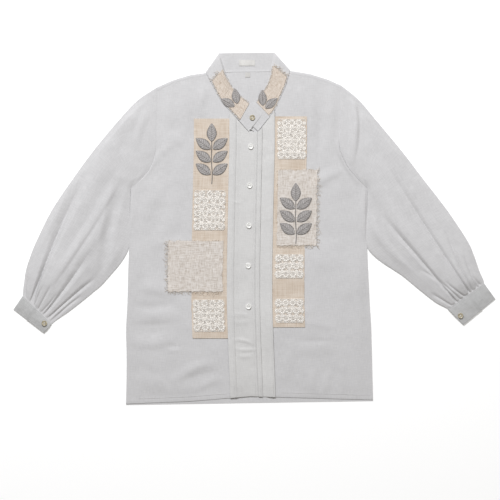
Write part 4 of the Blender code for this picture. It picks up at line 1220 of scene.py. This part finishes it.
def flowerLines(cx, cy, radius, turn, count, lift):
    # a ring of thread for the eye, then a loop of cord round each petal
    lines = [[laceSpot(cx + radius * 0.15 * math.cos(a), cy + radius * 0.15 * math.sin(a), lift + 0.4)
              for a in [2 * math.pi * k / 8 for k in range(9)]]]
    for petal in range(count):
        angle = turn + 2 * math.pi * petal / count
        wide = radius * 2.4 / count
        loop = []
        for k in range(9):
            t = math.pi * (k / 8 - 0.5)
            reach = radius * (0.22 + 0.78 * max(0.0, math.cos(t)) ** 0.7)
            side = wide * math.sin(2 * t)
            loop.append(laceSpot(cx + reach * math.cos(angle) - side * math.sin(angle),
                                 cy + reach * math.sin(angle) + side * math.cos(angle), lift))
        lines.append(loop)
    return lines


def addPads(bm, cx, cy, radius, turn, count, lift):
    # the worked filling of each petal, a low pad inside its cord
    for petal in range(count):
        angle = turn + 2 * math.pi * petal / count
        reach = radius * 0.66
        x, y, z = laceSpot(cx + reach * math.cos(angle), cy + reach * math.sin(angle), lift)
        shape = Matrix.Translation(Vector((x, y, z)) * mm) @ Matrix.Rotation(angle, 4, "Z")
        shape @= Matrix.Diagonal((radius * 0.29 * mm, radius * 1.7 / count * mm, 0.6 * mm, 1.0))
        bmesh.ops.create_icosphere(bm, subdivisions=1, radius=1.0, matrix=shape)


def laceFlowers(x0, x1, bottom, top):
    # rows of daisies, each row set half a flower along from the last, with a small blossom in each space
    draw = random.Random(round(top))
    radius, flowers = lace["flower"] / 2, []
    across = round((x1 - x0) / lace["flower"])
    rows = round((top - bottom) / (lace["flower"] * 0.88))
    width, pitch = (x1 - x0) / across, (top - bottom - 2 * radius - 1.0) / max(1, rows - 1)
    for row in range(rows):
        for k in range(across - row % 2):
            x = x0 + width * (k + 0.5 + 0.5 * (row % 2)) + draw.uniform(-0.6, 0.6)
            y = bottom + radius + 0.5 + row * pitch + draw.uniform(-0.5, 0.5)
            flowers.append((x, y, radius * draw.uniform(0.93, 1.03), draw.uniform(0.0, 6.0),
                            lace["petals"], 0.2))
            if row < rows - 1 and x + width / 2 < x1 - lace["blossom"]:
                flowers.append((x + width / 2, y + radius * 0.62, lace["blossom"] * draw.uniform(0.85, 1.1),
                                draw.uniform(0.0, 6.0), lace["blossomPetals"], 0.75))
        if row % 2:
            for x in (x0 + width * 0.24, x1 - width * 0.24):
                flowers.append((x, bottom + radius + 0.5 + row * pitch,
                                lace["blossom"] * draw.uniform(0.8, 1.0), draw.uniform(0.0, 6.0),
                                lace["blossomPetals"], 0.3))
    return flowers


def makeLace(name):
    shape = lace["panels"][name]
    (x0, x1), top = shape["x"], shape["top"]
    bottom = top - shape["count"] * lace["scallop"]
    edgeX = {0: x0 + lace["scallopDepth"], 1: x1 - lace["scallopDepth"]}

    def border(side, y):
        bulge = lace["scallopDepth"] * abs(math.sin(math.pi * (y - bottom) / lace["scallop"]))
        return edgeX[side] + (bulge if side else -bulge)

    cords, net, flowers, pads = [], [], [], bmesh.new()
    for side in (0, 1):
        for inset in (0.0, 1.5):
            cords.append([laceSpot(border(side, y) + (-inset if side else inset), y, 0.1)
                          for y in spread(bottom, top, 1.8)])
    for y, inward in ((bottom, 1.0), (top, -1.0)):
        for inset in (0.4, 2.0):
            cords.append([laceSpot(x, y + inward * inset, 0.1) for x in spread(edgeX[0], edgeX[1], 3.0)])
    for flower in laceFlowers(x0, x1, bottom, top):
        flowers += flowerLines(*flower)
        addPads(pads, *flower)
    for slope in (-1.0, 1.0):
        for start in spread(0.0, (x1 - x0) + (top - bottom), lace["netPitch"]):
            line = []
            for x in spread(edgeX[0], edgeX[1], 4.0):
                y = bottom + start - (x - x0) if slope < 0 else top - start + (x - x0)
                if bottom < y < top:
                    line.append(laceSpot(x, y, -0.3))
            if len(line) > 1:
                net.append(line)
    work = makeThreads(name + "Flowers", flowers, lace["cord"], "ivoryThread", caps=False)
    pads.from_mesh(work.data)
    pads.to_mesh(work.data)
    pads.free()
    work.data.shade_smooth()
    dress(work)
    ground = makeThreads(name + "Edge", cords, lace["cord"], "ivoryThread", caps=False)
    dress(ground)
    piece = makeThreads(name, net, lace["net"], "ivoryThread", caps=False)
    dress(piece, [shape["node"]])


for name in lace["panels"]:
    makeLace(name)
print("shirt: lace made")

# Leaves.
leaves = {
    "size": (40.0, 21.0), "smallSize": (34.0, 17.85), "rib": 1.7,
    "pairPitch": 28.56, "pairSpread": 3.0, "tipRise": 17.0, "pairTurn": 54.0,
    "sprigs": {"leafRight": {"node": "leaf_right", "foot": (-96.0, 122.0), "layer": 3},
               "leafLeft": {"node": "leaf_left", "foot": (93.0, -12.0), "layer": 4}},
    # a pair on each end of the collar: its middle, how far each leaf is shifted from it, and its turn
    "collarPairs": {
        "leafCollarRight": {"node": "leaf_collar_right", "at": (-42.0, 278.0), "shift": (3.0, 3.0),
                            "turn": 35.0, "layer": 4},
        "leafCollarLeft": {"node": "leaf_collar_left", "at": (22.0, 274.0), "shift": (3.0, -3.0),
                           "turn": -24.0, "layer": 3}},
    "collarTurn": 26.0,
}


def leafHalf(share, width):
    return 0.6 + (width / 2 - 0.6) * math.sin(math.pi * share ** 0.85) ** 0.9


def makeLeaf(name, node, x, y, turn, layer, length, width, onBody=True):
    # a stitched leaf: its cloth, then the veins and the edge's stitches as thread
    along = Vector((-math.sin(math.radians(turn)), math.cos(math.radians(turn))))
    across = Vector((along.y, -along.x))
    base = level(layer) - cloth["pitch"] / 2
    columns, rows = 13, 25

    def spot(side, share, lift):
        flat = Vector((x, y)) + along * (share * length) + across * (side * leafHalf(share, width))
        rise = bodyLift(flat.x, flat.y) if onBody else 0.5
        return Vector((flat.x, flat.y, base + lift + rise))

    def place(i, j):
        side, share = 2.0 * i / (columns - 1) - 1.0, j / (rows - 1)
        crown = lerp(0.7, leaves["rib"], 1.0 - abs(side) ** 1.5)
        return spot(side, share, crown), (side * width / 2 + x, share * length + y)

    piece = makeSheet(name, columns, rows, place, "greyLinen", wall=0.8)
    dress(piece, [node])
    threads = [[spot(0.0, k / 12, leaves["rib"] + 0.55) for k in range(13)]]
    for k in range(1, 7):
        root = k / 8
        for side in (-1.0, 1.0):
            threads.append([spot(side * t * 0.86, root + 0.13 * t, lerp(leaves["rib"], 0.8, t ** 1.5) + 0.5)
                            for t in (0.0, 0.33, 0.66, 1.0)])
    count = int(length / 1.1)
    for side in (-1.0, 1.0):
        for k in range(count):
            share = 0.03 + 0.94 * k / (count - 1)
            threads.append([spot(side * 0.84, share, 1.5), spot(side * 1.02, share + 0.012, 0.9),
                            spot(side * 1.07, share + 0.012, 0.2)])
    return [[tuple(point) for point in line] for line in threads]


def makeLeaves():
    for name, shape in leaves["sprigs"].items():
        threads = []
        foot = Vector(shape["foot"])
        for pair in range(3):
            for side, letter in ((-1.0, "a"), (1.0, "b")):
                threads += makeLeaf(f"{name}{pair + 1}{letter}", f"{shape['node']}_{pair + 1}{letter}",
                                    foot.x + side * leaves["pairSpread"], foot.y + leaves["pairPitch"] * pair,
                                    -side * leaves["pairTurn"], shape["layer"], *leaves["size"])
        tipY = foot.y + leaves["pairPitch"] * 2 + leaves["tipRise"]
        threads += makeLeaf(name + "Tip", shape["node"] + "_tip", foot.x, tipY, 0.0, shape["layer"],
                            *leaves["size"])
        dress(makeThreads(name + "Stitches", threads, 0.3, "greyThread"))
        stem = []
        for offset in (-0.5, 0.0, 0.5):
            line = []
            for k in range(30):
                y = lerp(foot.y - 22.0, tipY, k / 29)
                x = foot.x + offset + 1.5 * math.sin(k * 0.25) * (1.0 - k / 29)
                line.append((x, y, level(shape["layer"] - 1) + 0.8 + bodyLift(x, y)))
            stem.append(line)
        dress(makeThreads(name + "Stem", stem, 0.42, "greyThread", sides=1))
    threads = []
    for side, letter in ((-1.0, "a"), (1.0, "b")):
        for name, shape in leaves["collarPairs"].items():
            x, y = (middle + side * shift for middle, shift in zip(shape["at"], shape["shift"]))
            threads += makeLeaf(name + letter, shape["node"] + "_" + letter, x, y,
                                shape["turn"] - side * leaves["collarTurn"], shape["layer"],
                                *leaves["smallSize"], onBody=False)
    dress(makeThreads("leafCollarStitches", threads, 0.28, "greyThread"))


makeLeaves()
print("shirt: leaves made")

# Buttons.
buttons = {
    "width": 12.5, "thick": 2.4, "hole": 1.9, "holePitch": 4.4, "sides": 48, "thread": 0.32,
    "places": [     # node, x, y, turn of its holes in degrees, finish
        ("button_collar", -4.7, 249.3, 50.0, "oliveNacre"),
        ("button_front_1", -8.3, 184.3, 0.0, "whiteNacre"),
        ("button_front_2", -10.6, 96.5, 0.0, "whiteNacre"),
        ("button_front_3", -12.4, 6.5, 0.0, "whiteNacre"),
        ("button_front_4", -13.9, -83.9, 0.0, "whiteNacre"),
        ("button_front_5", -13.3, -175.7, 0.0, "whiteNacre"),
        ("button_cuff_right", -472.1, -213.1, 44.0, "oliveNacre"),
        ("button_cuff_left", 463.3, -196.2, -38.0, "oliveNacre")],
    # the thread from hole to hole: share of the way from the middle, and height
    "threadPath": [(-1.0, -0.6), (-0.95, 1.2), (-0.7, 1.75), (0.0, 1.95), (0.7, 1.75), (0.95, 1.2),
                   (1.0, -0.6)],
}


def buttonMesh():
    radius, thick = buttons["width"] / 2, buttons["thick"]
    profile = [(0.0, 0.0), (radius - 0.9, 0.0), (radius - 0.2, 0.5), (radius, 1.1), (radius - 0.1, 1.8),
               (radius - 0.5, 2.3), (radius - 0.9, thick), (radius - 1.3, 2.3), (radius - 1.9, 1.75),
               (radius - 2.6, thick - 0.9), (0.0, thick - 0.95)]
    bm = bmesh.new()
    points = [bm.verts.new(Vector((x, 0.0, z)) * mm) for x, z in profile]
    edges = [bm.edges.new(pair) for pair in zip(points, points[1:])]
    bmesh.ops.spin(bm, geom=points + edges, cent=(0, 0, 0), axis=(0, 0, 1), steps=buttons["sides"],
                   angle=2.0 * math.pi, use_merge=True)
    bmesh.ops.remove_doubles(bm, verts=bm.verts, dist=0.01 * mm)
    bmesh.ops.recalc_face_normals(bm, faces=bm.faces)
    mesh = bpy.data.meshes.new("buttonBlank")
    bm.to_mesh(mesh)
    bm.free()
    blank = bpy.data.objects.new("buttonBlank", mesh)
    drill = bmesh.new()
    for side in (-1.0, 1.0):
        bmesh.ops.create_cone(drill, cap_ends=True, segments=20, radius1=buttons["hole"] / 2 * mm,
                              radius2=buttons["hole"] / 2 * mm, depth=8.0 * mm,
                              matrix=Matrix.Translation((side * buttons["holePitch"] / 2 * mm, 0.0, 0.0)))
    drillMesh = bpy.data.meshes.new("buttonDrill")
    drill.to_mesh(drillMesh)
    drill.free()
    cutter = bpy.data.objects.new("buttonDrill", drillMesh)
    for helper in (blank, cutter):
        bpy.context.collection.objects.link(helper)
    cut = blank.modifiers.new("holes", "BOOLEAN")
    cut.operation = "DIFFERENCE"
    cut.object = cutter
    bakeShape(blank, 40.0)
    shaped = blank.data
    for helper in (blank, cutter):
        bpy.data.objects.remove(helper)
    return shaped


def makeLoop():
    # the rolled end of the collar stand's under layer, a small open loop below the button
    x, y, wide, high = collar["loop"]
    line = [(x + wide / 2 * math.cos(a), y + high / 2 * math.sin(a), level(2) + 0.9 + 0.5 * math.sin(a))
            for a in [2.0 * math.pi * k / 24 for k in range(25)]]
    dress(makeThreads("collarLoop", [line], collar["loopCord"], "stitchThread", sides=2))


def makeButtons():
    template = buttonMesh()
    threads = []
    for node, x, y, turn, finish in buttons["places"]:
        mesh = template.copy()
        mesh.materials.clear()
        mesh.materials.append(materials[finish])
        name = "".join(word.capitalize() if k else word for k, word in enumerate(node.split("_")))
        base = level(2.5) + (bodyLift(x, y) if "front" in node else 0.6)
        if "cuff" in node:
            base = level(2.3) + cuffLift(x, y, 0.5)
        spin = Matrix.Rotation(math.radians(turn), 4, "Z")
        mesh.transform(Matrix.Translation(Vector((x, y, base)) * mm) @ spin)
        piece = bpy.data.objects.new(name, mesh)
        bpy.context.collection.objects.link(piece)
        dress(piece, [node])
        half = buttons["holePitch"] / 2
        for offset in (-0.42, 0.0, 0.42):
            line = []
            for along, rise in buttons["threadPath"]:
                spot = spin @ Vector((along * half, offset, rise)) + Vector((x, y, base))
                line.append(tuple(spot))
            threads.append(line)
    dress(makeThreads("buttonThreads", threads, buttons["thread"], "stitchThread", sides=1))


makeButtons()
makeLoop()
print("shirt: buttons and loop made")

# Topstitching.
stitches = {
    "pitch": 3.2, "length": 2.3, "thread": 0.26,
    "frontRows": [(1.6, 2), (-30.5, 2), (-45.6, 4.2), (13.4, 3.2), (41.6, 4.25)],   # x and layer of each
    "frontEnds": (-372.0, 200.0), "hemEnds": (60.0, 262.0), "hemInset": 10.0, "shoulderInset": 2.5,
    "collarShares": (0.05, 0.94), "collarRows": [(0.0, 24, 2), (9.2, 23, 1)],   # first row, points, layer
    "cuffShares": (0.07, 0.93),
}


def stitchRow(points, height):
    # a row of short raised threads along a line
    path = [Vector(point) for point in points]
    total = sum((b - a).length for a, b in zip(path, path[1:]))
    lines = []
    for k in range(int(total / stitches["pitch"])):
        start = pointAlong(path, k * stitches["pitch"] / total)
        end = pointAlong(path, (k * stitches["pitch"] + stitches["length"]) / total)
        middle = (start + end) / 2
        lines.append([(start.x, start.y, height(start.x, start.y) - 0.15),
                      (middle.x, middle.y, height(middle.x, middle.y) + 0.2),
                      (end.x, end.y, height(end.x, end.y) - 0.15)])
    return lines


def makeStitches():
    top = cloth["wall"] / 2

    def onLayer(layer):
        return lambda x, y: level(layer) + top + bodyLift(x, y)

    def downFront(x, low, high):
        return [(x + sway(y), y) for y in spread(low, high, 20.0)]

    lines = []
    for x, layer in stitches["frontRows"]:
        lines += stitchRow(downFront(x, *stitches["frontEnds"]), onLayer(layer))
    for side, sign in (("right", -1.0), ("left", 1.0)):
        hem = [(x, valueAt(outline["frontHem"], x) + stitches["hemInset"])
               for x in spread(*(sign * end for end in stitches["hemEnds"]), 10.0)]
        lines += stitchRow(hem, onLayer(1.4))
        shoulder = outline["shoulderSeam"][side]
        seam = [(x, valueAt(shoulder, x) - stitches["shoulderInset"])
                for x in spread(shoulder[0][0] * 0.98, shoulder[-1][0] * 1.05, 8.0)]
        lines += stitchRow(seam, onLayer(1))
    piece = makeThreads("frontStitches", lines, stitches["thread"], "stitchThread")
    dress(piece)
    lines = []
    for share in stitches["collarShares"]:
        for first, count, layer in stitches["collarRows"]:
            lines += stitchRow([collarSpot(first + k / 4, share, 0)[:2] for k in range(count)],
                               lambda x, y, n=layer: level(n) + top + 0.1)
    for side in ("right", "left"):
        corners = {key: Vector(value) for key, value in cuffs[side].items()}
        for share in stitches["cuffShares"]:
            a = corners["seamOuter"].lerp(corners["wristOuter"], share)
            b = corners["seamInner"].lerp(corners["wristInner"], share)
            lap = cuffs["lapEnd"]
            for first, end, layer in ((lap + 0.07, 0.97, 2), (0.03, lap - 0.02, 1)):
                lines += stitchRow([a.lerp(b, first), a.lerp(b, end)],
                                   lambda x, y, s=share, n=layer: level(n) + top + cuffLift(x, y, s))
    dress(makeThreads("edgeStitches", lines, stitches["thread"], "stitchThread"))


makeStitches()
print("shirt: stitches made")
